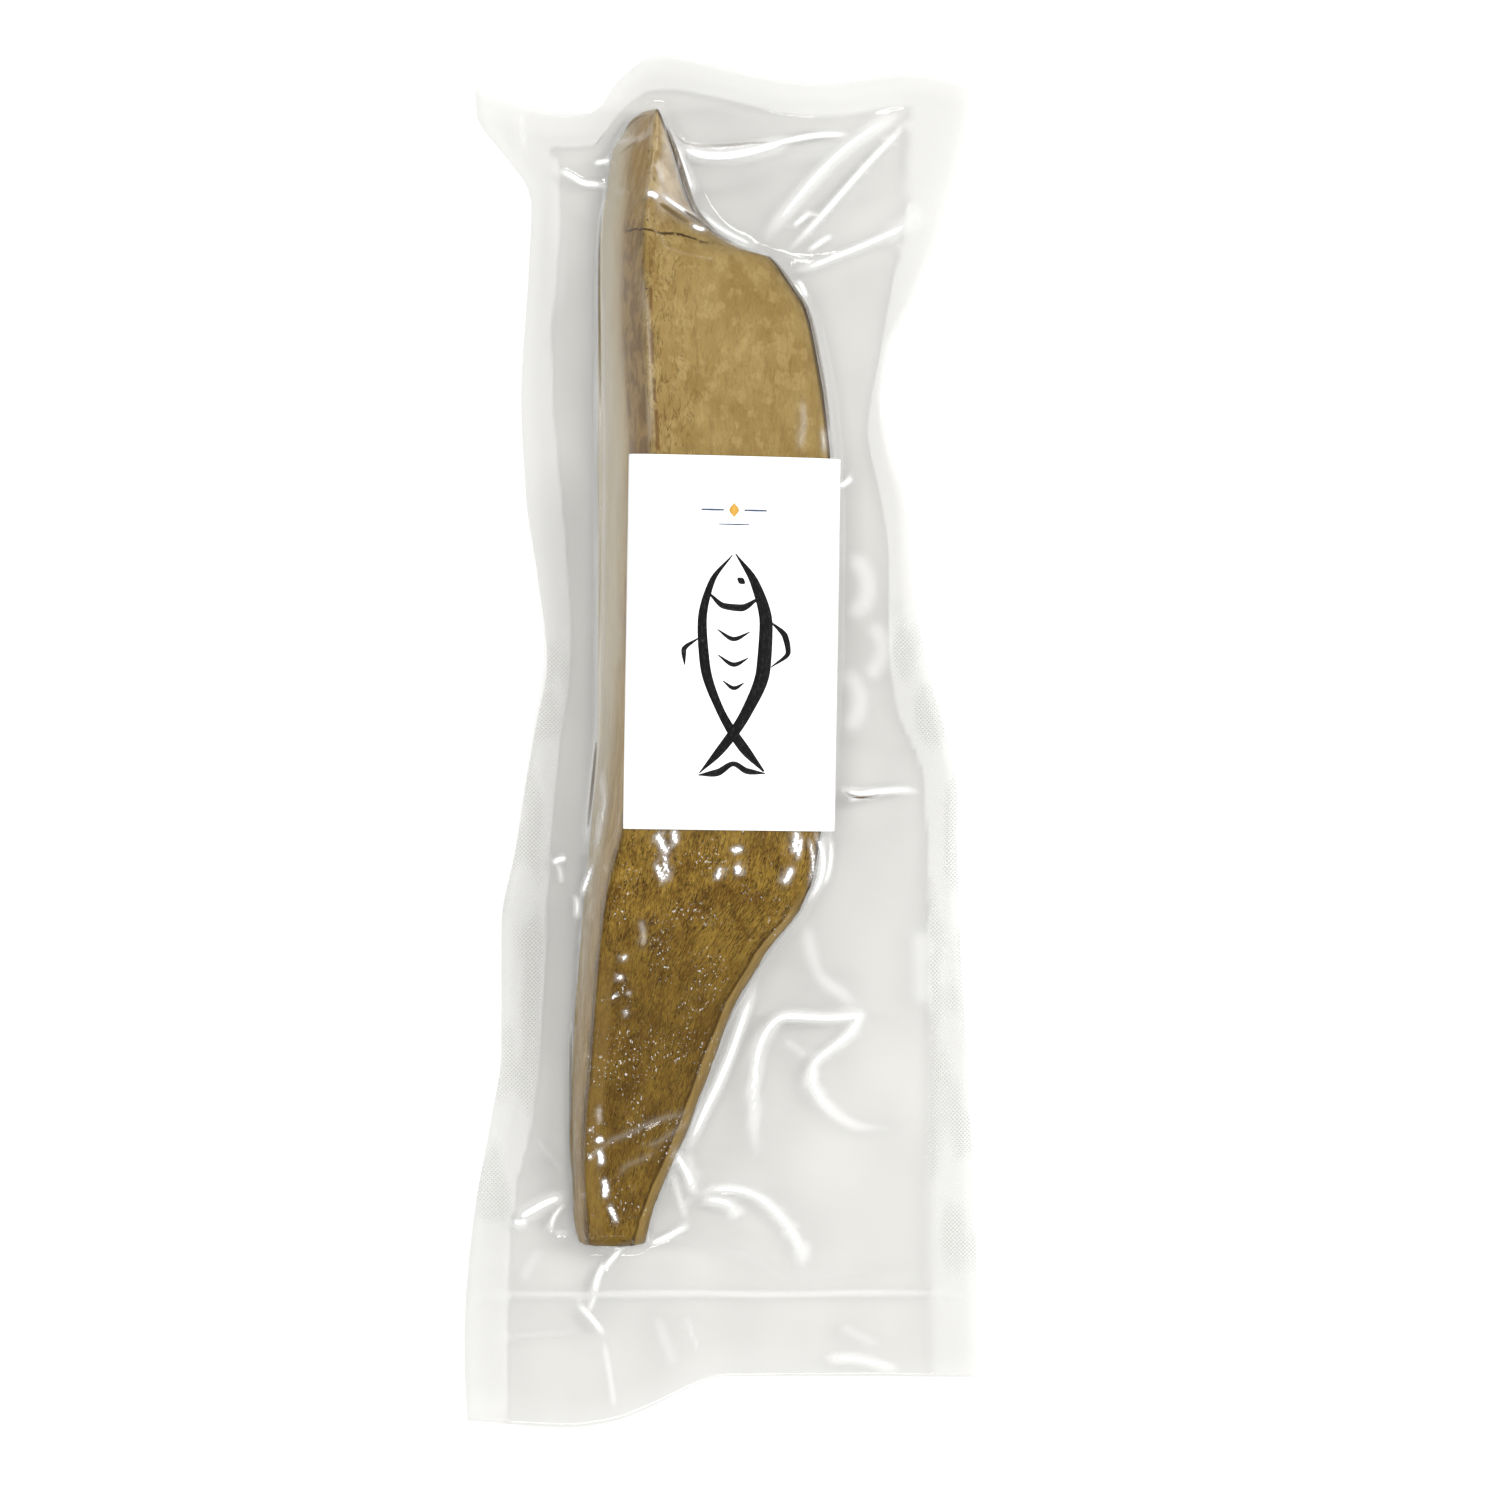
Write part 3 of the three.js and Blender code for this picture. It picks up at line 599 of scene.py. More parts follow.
# Sharp folds in the same form, along which painted shade darkens the film where it turns edge on.
PAINTED_DARK_FOLDS = [
    (0.1, 0.6, 0.5, (-12.7, 124.7), (-10.7, 122.6), (-8.6, 119.8), (-5.6, 118.8), (0.8, 119),
     (7.2, 119.6), (13.6, 119.8)),
    (0.1, 0.65, 0.8, (-12.2, 124.3), (-10.3, 119.6), (-8.2, 113.2), (-6.5, 107.6), (-4.8, 104.2),
     (-2.1, 101.3), (1.5, 98.5)),
    (0.1, 0.6, 0.55, (-9.8, 106.1), (-6.5, 103.9), (-4.5, 102.8), (-2.1, 100.9), (2.1, 98.4), (4.2, 97.2)),
    (0.1, 0.65, 0.7, (-13.3, 106.4), (-10.8, 104.8), (-7.8, 102.8), (-5.6, 101.8)),
    (0.1, 0.6, 0.5, (-14.6, 113.3), (-13.7, 111.3), (-12.7, 108.9)),
    (0.1, 0.6, 0.5, (-19.8, 120.5), (-18.9, 122.7), (-17.1, 124.1), (-14.8, 124.3), (-13.7, 123.4)),
    (0.1, 0.6, 0.45, (-21.7, 115.9), (-19.8, 117.3), (-16.7, 119.1), (-14.8, 119.6)),
    (0.1, 0.6, 0.47, (-21.7, 115.9), (-22.2, 114.2), (-22.8, 110.5), (-24.2, 105), (-24.5, 100.5),
     (-24.6, 89.6), (-24.4, 75.9), (-24.2, 55.9)),
    (0.1, 0.6, 0.42, (-24.3, 58), (-24.3, 36.1), (-24.6, 20.3), (-24.6, 4.4)),
    (0.1, 0.6, 0.5, (-24.7, 4.5), (-25.4, -3.5), (-26.4, -13.4), (-27.4, -21.4)),
    (0.1, 0.6, 0.55, (-30, -49.2), (-30.2, -59.1), (-30.2, -71.1), (-30.2, -81), (-29.4, -90.9),
     (-28.4, -99.5)),
    (0.1, 0.6, 0.5, (22.5, -8.5), (24.5, -10.1), (26.5, -11), (29.3, -10.8), (33.2, -10.5)),
    (0.1, 0.55, 0.3, (22.9, -10.8), (26.5, -12.6), (30.3, -12.6)),
    (0.1, 0.55, 0.35, (-26.5, -111.2), (-22.5, -109.6), (-19.1, -108.2)),
    (0.1, 0.55, 0.3, (-29.3, -111.2), (-27.3, -114.8), (-24.5, -117.3)),
    (0.1, 0.7, 0.8, (4.2, 97.1), (7.6, 96.4), (9.3, 95.9), (13.6, 90.3), (16.2, 86.3), (17.6, 82.8),
     (18.8, 76.5), (20, 69.4), (20.8, 62.5), (21.2, 56.6)),
]
NARROWEST_SHINE = 0.75
ROUNDINGS = 2


def creases_at(creases, x, y):
    """How far the creases lift the film at each point, and how strong their painted sharp and soft
    highlights are there.
    """
    lift, shine, glow = np.zeros_like(x), np.zeros_like(x), np.zeros_like(x)
    for high, wide, strong, *corners in creases:
        path = np.array(corners, float)
        for _ in range(ROUNDINGS):
            first = path[:-1] * 0.75 + path[1:] * 0.25
            second = path[:-1] * 0.25 + path[1:] * 0.75
            path = np.concatenate([path[:1], np.stack([first, second], 1).reshape(-1, 2), path[-1:]])
        reach = 5 * wide + 2
        close = (x > path[:, 0].min() - reach) & (x < path[:, 0].max() + reach)
        close &= (y > path[:, 1].min() - reach) & (y < path[:, 1].max() + reach)
        px, py = x[close], y[close]
        near = np.full_like(px, np.inf)
        run = np.zeros_like(px)
        passed = 0
        for (ax, ay), (bx, by) in zip(path, path[1:]):
            length = math.hypot(bx - ax, by - ay)
            t = np.clip(((px - ax) * (bx - ax) + (py - ay) * (by - ay)) / length ** 2, 0, 1)
            distance = np.hypot(px - ax - t * (bx - ax), py - ay - t * (by - ay))
            closer = distance < near
            near = np.where(closer, distance, near)
            run = np.where(closer, passed + t * length, run)
            passed += length
        run /= passed
        taper = smoothstep(-0.08, 0.22, run) * smoothstep(-0.08, 0.22, 1 - run)
        pointed = taper * (0.72 + 0.28 * np.sin(math.pi * run))
        blunt = 0.8 * wide
        raised = high * taper * np.exp(-(np.sqrt(near ** 2 + blunt ** 2) - blunt) / wide)
        crisp = strong * pointed * np.exp(-(near / max(NARROWEST_SHINE, 0.6 * wide)) ** 2)
        soft = strong * taper * np.exp(-(near / (0.2 + 0.9 * wide)) ** 2)
        lift[close] = np.maximum(lift[close], raised)
        shine[close] = np.maximum(shine[close], crisp)
        glow[close] = np.maximum(glow[close], soft)
    return lift, shine, glow


def web_height(x, y):
    """Height midway between the films, beside the block: high next to it, low at the outer edge."""
    left, right, foot, side = left_edge(y), right_edge(y), foot_x(y), side_x(y)
    from_right = np.where(x > side, (right - x) / (right - side), 1)
    inward = np.clip(np.where(x < foot, (x - left) / (foot - left), from_right), 0, 1)
    beside = smoothstep(-112, -60, y) * (1 - smoothstep(95, 131, y))
    wave = 0.9 * np.sin(y / 17 + 0.6) * np.cos(x / 40) + 0.7 * np.sin(y / 11 - x / 23)
    return WEB_EDGE + (WEB_ROOT - WEB_EDGE) * beside * inward ** 1.6 + wave * (1 - 0.7 * inward)


NET = 0.5
NET_REACH = (54, 140)
NET_PULL = 0.3
TENT_PULL = 0.08
NET_STEPS = 700
HOLLOW_CENTRE = (-3, 108)
HOLLOW_SIZE = (9, 12)
net_x, net_y = (np.arange(-reach, reach + NET, NET) for reach in NET_REACH)
net_grid = np.meshgrid(net_x, net_y)
# The film is drawn in close all along the block, and stands off it only in the hollow by the tip.
away = [(at - centre) / size for at, centre, size in zip(net_grid, HOLLOW_CENTRE, HOLLOW_SIZE)]
hollow = np.exp(-away[0] ** 2 - away[1] ** 2)
pull = (NET_PULL + (TENT_PULL - NET_PULL) * hollow)[1:-1, 1:-1]


def drape(held, rest):
    """Film pulled down over what it covers, as a function that gives its height at a place."""
    floor = np.maximum(held, rest)
    film = floor.copy()
    for _ in range(NET_STEPS):
        mean = (film[1:-1, :-2] + film[1:-1, 2:] + film[:-2, 1:-1] + film[2:, 1:-1]) / 4
        film[1:-1, 1:-1] = np.maximum(floor[1:-1, 1:-1], mean - pull)

    def height_at(x, y):
        column = np.clip((x - net_x[0]) / NET, 0, len(net_x) - 1.001)
        row = np.clip((y - net_y[0]) / NET, 0, len(net_y) - 1.001)
        i, j = column.astype(int), row.astype(int)
        s, t = column - i, row - j
        low = film[j, i] * (1 - s) + film[j, i + 1] * s
        high = film[j + 1, i] * (1 - s) + film[j + 1, i + 1] * s
        return low * (1 - t) + high * t

    return height_at


half_pair = FILM_GAP + FILM / 2
web_net = web_height(*net_grid)
top_net = block_top(*net_grid, SKIN)
front_drape = drape(top_net, web_net + half_pair)
back_drape = drape(np.where(top_net > 0, -FILM / 2, -WEB_ROOT), half_pair - web_net)


def flat_film(row_stretches, column_counts):
    """A flat sheet in the pouch's outline, in mm, with its faces closer where the form turns."""
    rows = [np.array([BOTTOM_Y])]
    for end, count in row_stretches:
        rows.append(np.linspace(rows[-1][-1], end, count + 1)[1:])
    y = np.concatenate(rows)
    foot = foot_x(y) - SKIN
    crest = np.maximum(ridge_x(y), foot + 2.5)
    side = np.maximum(side_x(y) + SKIN, crest + 3)
    turn = side - np.minimum(SHOULDER_RADIUS, 0.4 * (side - crest))
    stops = [left_edge(y), foot - 5, foot, crest, turn, side, side + 1, side + 5, right_edge(y)]
    columns = [stops[0]]
    for low, high, count in zip(stops, stops[1:], column_counts):
        columns += [low + (high - low) * n / count for n in range(1, count + 1)]
    x = np.stack(columns, 1)
    y = np.repeat(y[:, None], x.shape[1], 1)
    skirt = np.clip((BOTTOM_SEAL_Y - y) / (BOTTOM_SEAL_Y - BOTTOM_Y), 0, 1)
    y = y + (top_edge(x) - TOP_Y) * smoothstep(98, TOP_Y, y) + (bottom_edge(x) - BOTTOM_Y) * skirt
    mesh = bmesh.new()
    bmesh.ops.create_grid(mesh, x_segments=x.shape[1] - 1, y_segments=x.shape[0] - 1, size=1)
    for vert in mesh.verts:
        i = round((vert.co.x + 1) / 2 * (x.shape[1] - 1))
        j = round((vert.co.y + 1) / 2 * (x.shape[0] - 1))
        vert.co = (x[j, i], y[j, i], 0)
    return mesh


# Points of the film this near the block's side count as on it, so that none drops past its edge.
EDGE_WIDTH = 0.06
FINE_LIFT = 0.6
FINE_SHINE = 0.15
FINE_CUTS = 2


def split_at_creases(mesh, creases):
    """Cuts the faces under the creases into smaller ones, so that the creases come out sharp."""
    centres = np.array([face.calc_center_median() for face in mesh.faces])
    lift, shine, _ = creases_at(creases, centres[:, 0], centres[:, 1])
    fine = (lift > FINE_LIFT) | (shine > FINE_SHINE)
    chosen = [face for face, wanted in zip(mesh.faces, fine) if wanted]
    edges = list(dict.fromkeys(edge for face in chosen for edge in face.edges))
    bmesh.ops.subdivide_edges(mesh, edges=edges, cuts=FINE_CUTS, use_grid_fill=True, use_single_edge=True)


def thicken(piece, wall_name, thickness):
    """Gives a sheet its thickness in mm, half of it on either side."""
    wall = piece.modifiers.new(wall_name, "SOLIDIFY")
    wall.thickness = thickness * MM
    wall.offset = 0


def film_piece(name, mesh, z, bridging, **shares):
    """The sheet of film lifted to these heights, with its shares kept for the material to read."""
    for face in mesh.faces:
        face.material_index = int(max(bridging[vert.index] for vert in face.verts) > 0.5)
    layers = {share: mesh.verts.layers.float.new(share) for share in shares}
    for i, vert in enumerate(mesh.verts):
        vert.co = Vector((vert.co.x, vert.co.y, z[i])) * MM + shift
        for share, values in shares.items():
            vert[layers[share]] = values[i]
    piece = as_piece(name, mesh)
    thicken(piece, "film", FILM)
    return piece


# Where the inner edges of the side seals run: the web narrows them to the eye where it stands steep.
left_seal = line(
    (-108.9, -43.1), (-97, -42.1), (-87.2, -40.7), (-78.1, -38.4), (-67.9, -36.9), (-23.6, -34.4),
    (-13.6, -33.8), (-0.5, -32.4), (16, -30.4), (39.1, -31.2), (52.2, -32.4), (72.1, -33.8), (80.8, -34),
    (92.4, -33.2), (103.7, -32.4), (114, -32.6), (125, -38),
)
right_seal = line(
    (-110, 41.4), (-71, 41.4), (-24.2, 40.8), (-6.5, 39.6), (8.4, 34.2), (24, 33), (36.3, 33),
    (47.8, 31.5), (62.1, 28.9), (76.1, 31), (88, 33), (106.5, 36.6), (117.8, 36.6),
)


def seal_share(x, y):
    """1 on the heat seals: a band inside each side and the upper edge, and a line over the skirt."""
    left = 1 - smoothstep(-0.3, 0.3, x - left_seal(y))
    right = smoothstep(-0.3, 0.3, x - right_seal(y))
    top = 1 - smoothstep(6.5, 7.2, top_edge(x) - y)
    bottom = 0.35 * np.exp(-((y - BOTTOM_SEAL_Y) / 1.1) ** 2)
    return np.maximum.reduce([left, right, top, bottom])


mesh = flat_film(
    [(-110, 15), (-94, 16), (-40, 44), (-24, 14), (86, 76), (112, 28), (TOP_Y, 20)],
    [13, 7, 16, 20, 8, 4, 5, 21],
)
split_at_creases(mesh, WEB_CREASES + BLOCK_WRINKLES + PAINTED_DARK_FOLDS)
x, y = np.array([vert.co[:2] for vert in mesh.verts]).T
flat = np.stack([x, y, np.zeros_like(x)], 1)
edge = side_x(y) + SKIN
held = block_top(np.where(np.abs(x - edge) < EDGE_WIDTH, edge - EDGE_WIDTH, x), y, SKIN)
draped = np.maximum.reduce([front_drape(x, y), held, web_height(x, y) + half_pair])
# Where the film lies on the block it takes the flesh's lumps, and where it is slack it swells.
slack = smoothstep(0.05, 0.8, draped - held)
lumps = coarse_relief(np.stack([x, y, draped], 1)) * (1 - slack)
swells = (0.5 + 0.5 * field(flat, np.array([11.0, 16.0, 1.0]), 61)) * 0.9 * slack
# Painted shading: where the film is slack it is made more mirror-like, and so greyer, in cloudy patches.
shading_clouds = 0.5 + 0.5 * field(flat, np.array([9.0, 15.0, 1.0]), 17)
crease = creases_at(WEB_CREASES, x, y)[0] * (0.15 + 0.85 * slack)
wrinkle = creases_at(BLOCK_WRINKLES, x, y)[0]
# Painted highlights: a sharp shine and a soft glow along the creases and wrinkles.
shine, glow = creases_at(WEB_CREASES + BLOCK_WRINKLES, x, y)[1:]
fold = creases_at(PAINTED_DARK_FOLDS, x, y)[1]
streaks = 0.5 + 0.5 * field(flat, np.array([1.1, 15.0, 1.0]), 29)
# Below the bottom seal the two films part.
parted = smoothstep(BOTTOM_SEAL_Y + 1, BOTTOM_SEAL_Y - 6, y) * (0.9 + 0.6 * np.sin(x / 9 + 1))
# The sealing bars press a fine grid into the side seals, which shows on their lower parts.
seal = seal_share(x, y)
pressed = smoothstep(-0.25, 0.25, field(flat, np.array([4.0, 12.0, 1.0]), 4)) * smoothstep(-112, -100, y)
pressed *= np.where(x > 0, 1 - smoothstep(24, 34, y), 1 - smoothstep(16, 26, y))
# A painted sheen veils the film white over the left face, which it covers at a slant, and over the hollow
# by the tip.
over_left_face = (1 - smoothstep(-8, -2.5, x - ridge_x(y))) * smoothstep(-1.5, 0, x - foot_x(y))
over_left_face *= 0.6 + 0.6 * streaks
over_tip = smoothstep(0.5, 2.5, x - ridge_x(y)) * (1 - smoothstep(-0.5, 0.5, x - side_x(y)))
over_tip *= 0.9 * smoothstep(100, 108, y)
front_film = film_piece(
    "front_film", mesh, draped + lumps + np.maximum(crease, wrinkle) + swells * (1 - seal) + parted,
    bridging=(1 - slack) * (y < -14), slack=slack * (1 - seal) * (0.1 + 0.9 * shading_clouds), seal=seal,
    emboss=seal * pressed, veil=np.maximum(over_left_face, over_tip), shine=shine, glow=glow, fold=fold,
)

mesh = flat_film(
    [(-110, 14), (-94, 12), (-40, 36), (-24, 10), (86, 56), (112, 20), (TOP_Y, 16)],
    [13, 7, 5, 6, 4, 4, 6, 24],
)
x, y = np.array([vert.co[:2] for vert in mesh.verts]).T
under = np.minimum(-back_drape(x, y), web_height(x, y) - half_pair)
# The back film creases only where it stands off the table.
free = smoothstep(0.2, WEB_EDGE, under)
nothing = np.zeros_like(x)
back_film = film_piece(
    "back_film", mesh, under + creases_at(WEB_CREASES, x, y)[0] * free * 0.9,
    bridging=nothing, slack=nothing, seal=seal_share(x, y), emboss=nothing,
)

EMBOSS_PITCH = 0.8
FILM_TINT = (0.961, 0.96, 0.955, 1)
FILM_WHITE = (0.97, 0.97, 0.96, 1)


def clear_film(name, bridging):
    """Clear film, with white highlights painted along its creases, and in flecks where it bridges raw
    flesh.
    """
    material, start, place = new_material(name)
    slack, seal, emboss, veil = (kept(start, share) for share in ("slack", "seal", "emboss", "veil"))
    shine, glow, fold = (kept(start, share) for share in ("shine", "glow", "fold"))
    across, along = (axis(place, letter) * (2 * math.pi / EMBOSS_PITCH) for letter in "XY")
    pimples = (across.math("SINE") * along.math("SINE")).between(-0.2, 0.9) * emboss
    if bridging:
        flecks = stretched(place, (0.5, 0.7, 0.5), detail=2, roughness=0.6, seed=15)
        puckers = stretched(place, (6, 8, 6), detail=1, seed=33).between(0.48, 0.62)
        glints = (shine + (flecks - 0.5) * 1.1).between(0.62, 0.74)
        shining = glints.math("MAXIMUM", flecks.between(0.62, 0.7) * puckers * 0.45)
    else:
        shining = shine.between(0.5, 0.85)
    folding = fold.between(0.25, 1)
    facing = start.node("ShaderNodeLayerWeight", None, {"Blend": 0.5}, output="Facing")
    # The seals' own haze, with the painted veil, shine and glow, mixed in as diffuse white.
    haze_and_painted_light = seal * 0.14 + veil * 0.16 + shining * 0.92 + glow * 0.3
    cover = 0.008 + 0.96 * facing ** 6 + slack * 0.12 + haze_and_painted_light + pimples * 0.2 + folding * 0.8
    tint = pimples.between(0.2, 0.9).blend(FILM_WHITE, srgb(176, 178, 171))
    # Painted shade: the film turns dark brown along the dark folds.
    tint = folding.between(0.02, 0.2).blend(tint, srgb(86, 70, 46))
    mirroring = 0.85 * (1 - ((haze_and_painted_light + folding) * 6).between(0, 1))
    gloss = start.node(
        "ShaderNodeBsdfPrincipled", None,
        {"Base Color": tint, "Metallic": mirroring, "Roughness": 0.1 + shining * 0.3,
         "Normal": bumped(pimples, 0.8, 0.2)},
    )
    clear = start.node("ShaderNodeBsdfTransparent", None, {"Color": FILM_TINT})
    surface = start.node("ShaderNodeMixShader", None, {0: cover, 1: clear, 2: gloss})
    start.node("ShaderNodeOutputMaterial", None, {"Surface": surface})
    return material


# The film's inner face adds no shine of its own.
inner_face, start, _ = new_material("film_inner_face")
clear = start.node("ShaderNodeBsdfTransparent", None, {"Color": FILM_TINT})
gloss = start.node("ShaderNodeBsdfPrincipled", None, {"Base Color": FILM_WHITE, "Roughness": 0.2})
surface = start.node("ShaderNodeMixShader", None, {0: 0.004, 1: clear, 2: gloss})
start.node("ShaderNodeOutputMaterial", None, {"Surface": surface})

finishes = [clear_film("clear_nylon", False), clear_film("clear_nylon_over_flesh", True), inner_face]
for piece in (front_film, back_film):
    for finish in finishes:
        piece.data.materials.append(finish)
    piece.modifiers["film"].material_offset = 2
    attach(piece, "root")
    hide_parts("pouch")

# ------------------------------------------------------------------ label
# The label: a rectangle of white paper stuck on the front film, a degree out of true. It runs a
# little past the ridge and the shoulder, where it bends down.

LABEL_WIDTH = 41.4
LABEL_LENGTH = 73.2
LABEL_CENTRE = (1.9, 19.4)
LABEL_TURN = math.radians(-0.9)
LEFT_BEND = 0.06
RIGHT_BEND = 0.05
PAPER = 0.2
PAPER_LIFT = 0.35
PAPER_COLUMNS = 56
PAPER_ROWS = 96


def on_label(u, v, lift):
    """The point in metres this far over the label, u and v being mm from its middle."""
    x = LABEL_CENTRE[0] + u * math.cos(LABEL_TURN) - v * math.sin(LABEL_TURN)
    y = LABEL_CENTRE[1] + u * math.sin(LABEL_TURN) + v * math.cos(LABEL_TURN)
    inside = np.clip(x, ridge_x(y) + 0.5, side_x(y) - SHOULDER_RADIUS)
    past = x - inside
    skin = SKIN + FILM / 2
    height = block_top(inside, y, skin)
    fall_right = height - block_top(inside - 1, y, skin)
    fall_left = block_top(inside + 1, y, skin) - height
    bend = np.where(past > 0, RIGHT_BEND, LEFT_BEND)
    z = height + np.where(past > 0, fall_right, fall_left) * past - bend * past ** 2 + lift
    return np.stack([x, y, z], -1) * MM + np.array(shift)


mesh = bmesh.new()
bmesh.ops.create_grid(mesh, x_segments=PAPER_COLUMNS, y_segments=PAPER_ROWS, size=0.5)
u, v = np.array([(vert.co.x * LABEL_WIDTH, vert.co.y * LABEL_LENGTH) for vert in mesh.verts]).T
for vert, co in zip(mesh.verts, on_label(u, v, PAPER_LIFT + PAPER / 2)):
    vert.co = co
paper = as_piece("paper_label", mesh)
thicken(paper, "paper", PAPER)

material, start, place = new_material("white_paper")
pulp = stretched(place, (0.35, 0.35, 0.35), detail=2)
tone = stretched(place, (12, 18, 12), detail=1, seed=6)
surface = start.node(
    "ShaderNodeBsdfPrincipled", None,
    {"Base Color": tone.blend(srgb(240, 240, 239), srgb(245, 245, 244)), "Roughness": 0.5 + pulp * 0.2,
     "Specular IOR Level": 0.3, "Normal": bumped(pulp, 0.12, 0.1)},
)
start.node("ShaderNodeOutputMaterial", None, {"Surface": surface})
paper.data.materials.append(material)
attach(paper, "root")
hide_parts("label")

# ------------------------------------------------------------------ ink
# What is printed on the label: a fish brushed in black with its head up, and over it a gold
# lozenge between two short slate-blue rules. Each stroke is a thin film of ink on the paper.

INK = 0.02
INK_LIFT = PAPER_LIFT + PAPER + 0.02
STROKE_STEPS = 40
# Each stroke is a list of places on the label and the brush's half width there: u, v, half width.
FISH = [
    [(0.4, 17.5, 0.1), (4.4, 11.5, 0.9), (6.6, 3.5, 1.3), (6.2, -5, 1.4), (3, -13.5, 1.1),
     (-1.6, -20.5, 0.9), (-6, -25.5, 0.1)],
    [(-0.2, 17.2, 0.1), (-4.2, 11.8, 0.6), (-5.9, 4, 0.9), (-5.2, -4.5, 1), (-2.2, -13, 0.8),
     (2.2, -20, 1), (6.6, -25, 0.2)],
    [(-6.2, -25.9, 0.1), (-2.6, -25.4, 0.7), (0.6, -23.6, 0.5), (3.4, -25, 0.6), (6.9, -25.4, 0.1)],
    [(-4.6, 9.6, 0.2), (-1.6, 7.2, 0.6), (1.6, 6.9, 0.7), (5, 8.8, 0.2)],
    [(0.9, 12.7, 0.2), (1.6, 12.2, 0.65), (2.3, 11.7, 0.2)],
    [(7.4, 4.4, 0.1), (10.4, 1.4, 0.6), (11, -1.6, 0.5), (7.7, -4.6, 0.1)],
    [(-6.4, 1, 0.1), (-9.4, -1.6, 0.5), (-9.2, -4.4, 0.1)],
    [(-2.9, 2.6, 0.1), (0.3, 0.8, 0.45), (3.4, 2.2, 0.1)],
    [(-2.7, -2.4, 0.1), (0.4, -4.2, 0.45), (3.2, -2.9, 0.1)],
    [(-1.7, -7.4, 0.1), (0.5, -8.8, 0.4), (2.4, -7.8, 0.1)],
]
RULES = [
    [(-6.4, 26, 0.16), (-4.2, 26, 0.2), (-2, 26, 0.16)],
    [(2, 26, 0.16), (4.2, 26, 0.2), (6.4, 26, 0.16)],
    [(-3, 23.2, 0.1), (0, 23.2, 0.14), (3, 23.2, 0.1)],
]
LOZENGE = [[(0, 27.4, 0.02), (0, 26, 0.95), (0, 24.6, 0.02)]]


def inked(name, strokes, light, dark):
    """One ink's strokes as a piece, a little uneven where the brush ran dry."""
    mesh = bmesh.new()
    for stroke in strokes:
        verts = bmesh.ops.create_grid(mesh, x_segments=STROKE_STEPS, y_segments=2, size=1)["verts"]
        steps = len(stroke) - 1
        u_at, v_at, half_at = (line(*enumerate(column)) for column in zip(*stroke))
        t = np.array([vert.co.x / 2 + 0.5 for vert in verts]) * steps
        s = np.array([vert.co.y for vert in verts])
        run_u, run_v = u_at(t + 0.02) - u_at(t - 0.02), v_at(t + 0.02) - v_at(t - 0.02)
        aside = s * half_at(t) / np.hypot(run_u, run_v)
        for vert, co in zip(verts, on_label(u_at(t) - aside * run_v, v_at(t) + aside * run_u, INK_LIFT)):
            vert.co = co
    bmesh.ops.recalc_face_normals(mesh, faces=mesh.faces)
    piece = as_piece(name, mesh)
    thicken(piece, "ink", INK)
    material, start, place = new_material(name + "_ink")
    dry = stretched(place, (0.3, 0.9, 0.3), detail=3, roughness=0.7, seed=9).between(0.5, 0.75)
    surface = start.node(
        "ShaderNodeBsdfPrincipled", None,
        {"Base Color": dry.blend(dark, light), "Roughness": 0.45 + dry * 0.25, "Specular IOR Level": 0.3},
    )
    start.node("ShaderNodeOutputMaterial", None, {"Surface": surface})
    piece.data.materials.append(material)
    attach(piece, "root")
    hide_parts("label")


inked("label_fish", FISH, light=srgb(52, 50, 50), dark=srgb(16, 15, 16))
inked("label_rules", RULES, light=srgb(96, 108, 130), dark=srgb(70, 82, 106))
inked("label_lozenge", LOZENGE, light=srgb(214, 174, 96), dark=srgb(194, 148, 66))

# ------------------------------------------------------------------ studio
# A white table top, broad soft light from above and from the upper right, and a narrow strip light
# on each of the four sides. The film mirrors the two strips beyond the pack's ends. The camera is
# straight over the pack.

CAMERA_HEIGHT = 1.3
FRAME_WIDTH = 0.3
SENSOR = 36
TABLE_SIZE = 6

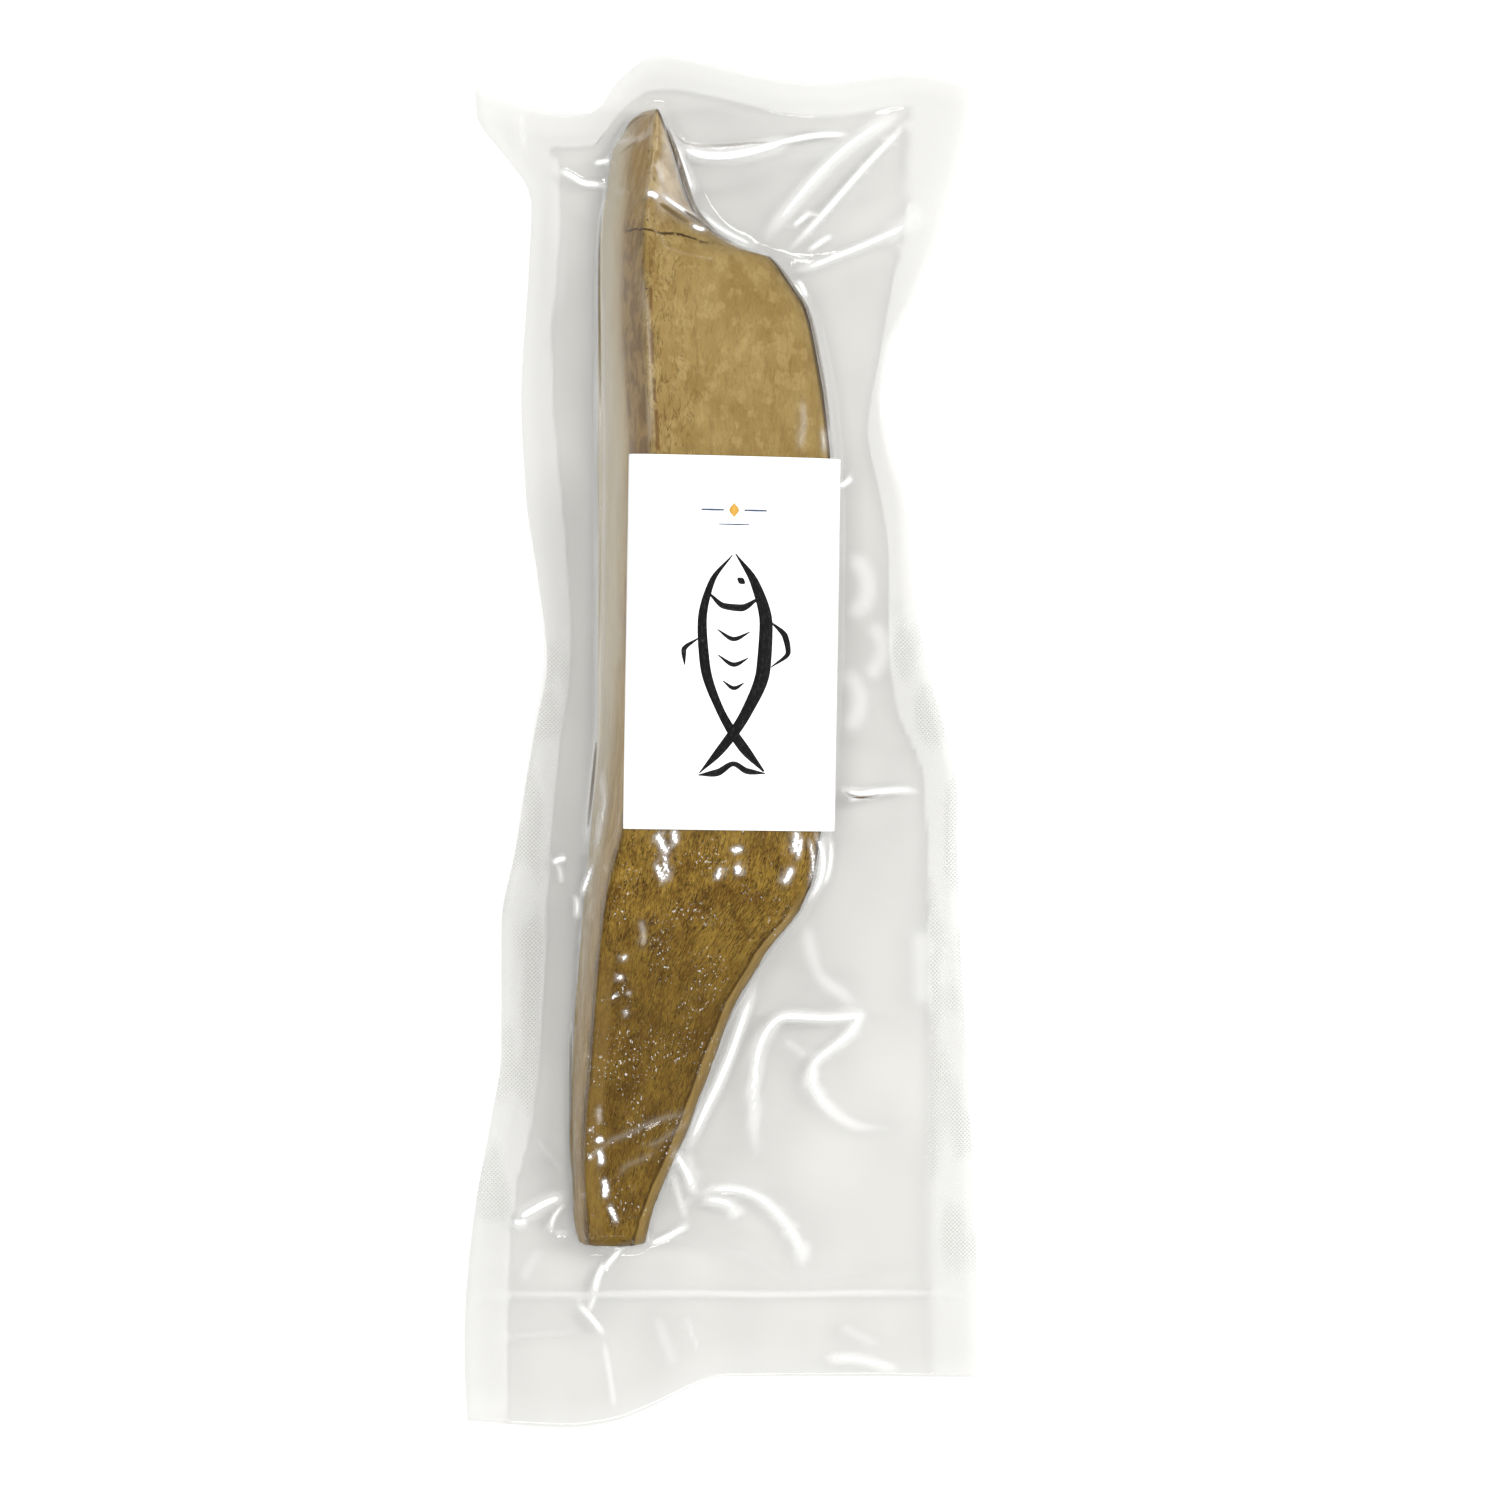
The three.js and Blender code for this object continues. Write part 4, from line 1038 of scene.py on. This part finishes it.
bpy.ops.mesh.primitive_plane_add(size=TABLE_SIZE, location=(0, 0, 0))
table = bpy.context.object
table.name = "table"
material, start, _ = new_material("table_top")
surface = start.node(
    "ShaderNodeBsdfPrincipled", None,
    {"Base Color": (0.82, 0.82, 0.82, 1), "Roughness": 0.8, "Specular IOR Level": 0.1},
)
start.node("ShaderNodeOutputMaterial", None, {"Surface": surface})
table.data.materials.append(material)

# The middle of the photo's frame, on the table.
aim = Vector((0.0054, -0.0015, 0)) + shift


def soft_light(name, bearing, tilt, distance, size, power, mirrored):
    """An area light facing the pack, this many degrees round from +X and down from the vertical."""
    bearing, tilt = math.radians(bearing), math.radians(tilt)
    away = Vector((math.sin(tilt) * math.cos(bearing), math.sin(tilt) * math.sin(bearing), math.cos(tilt)))
    data = bpy.data.lights.new(name, "AREA")
    data.shape = "RECTANGLE"
    data.size, data.size_y = size
    data.energy = power
    light = bpy.data.objects.new(name, data)
    light.location = aim + away * distance
    light.rotation_euler = (-away).to_track_quat("-Z", "Y").to_euler()
    light.visible_glossy = mirrored
    bpy.context.scene.collection.objects.link(light)


soft_light("overhead_light", 0, 1, 1.4, (0.7, 0.7), 12.6, False)
soft_light("key_light", 20, 30, 1.3, (0.4, 0.4), 7.2, False)
soft_light("left_strip", 180, 54, 1.3, (0.12, 0.9), 4.5, False)
soft_light("far_strip", 80, 56, 1.3, (0.9, 0.12), 3.7, True)
soft_light("near_strip", 275, 56, 1.3, (0.9, 0.12), 3.7, True)
soft_light("right_strip", 0, 60, 1.3, (0.12, 0.9), 3.7, False)

world = bpy.data.worlds.new("studio")
world.use_nodes = True
bpy.context.scene.world = world
background = world.node_tree.nodes["Background"]
background.inputs["Color"].default_value = (1, 1, 1, 1)
background.inputs["Strength"].default_value = 0.25

camera_data = bpy.data.cameras.new("camera")
camera_data.sensor_width = SENSOR
camera_data.lens = SENSOR * CAMERA_HEIGHT / FRAME_WIDTH
camera_data.clip_end = 10
camera = bpy.data.objects.new("camera", camera_data)
camera.location = aim + Vector((0, 0, CAMERA_HEIGHT))
bpy.context.scene.collection.objects.link(camera)
bpy.context.scene.camera = camera
bpy.context.scene.view_settings.view_transform = "Standard"
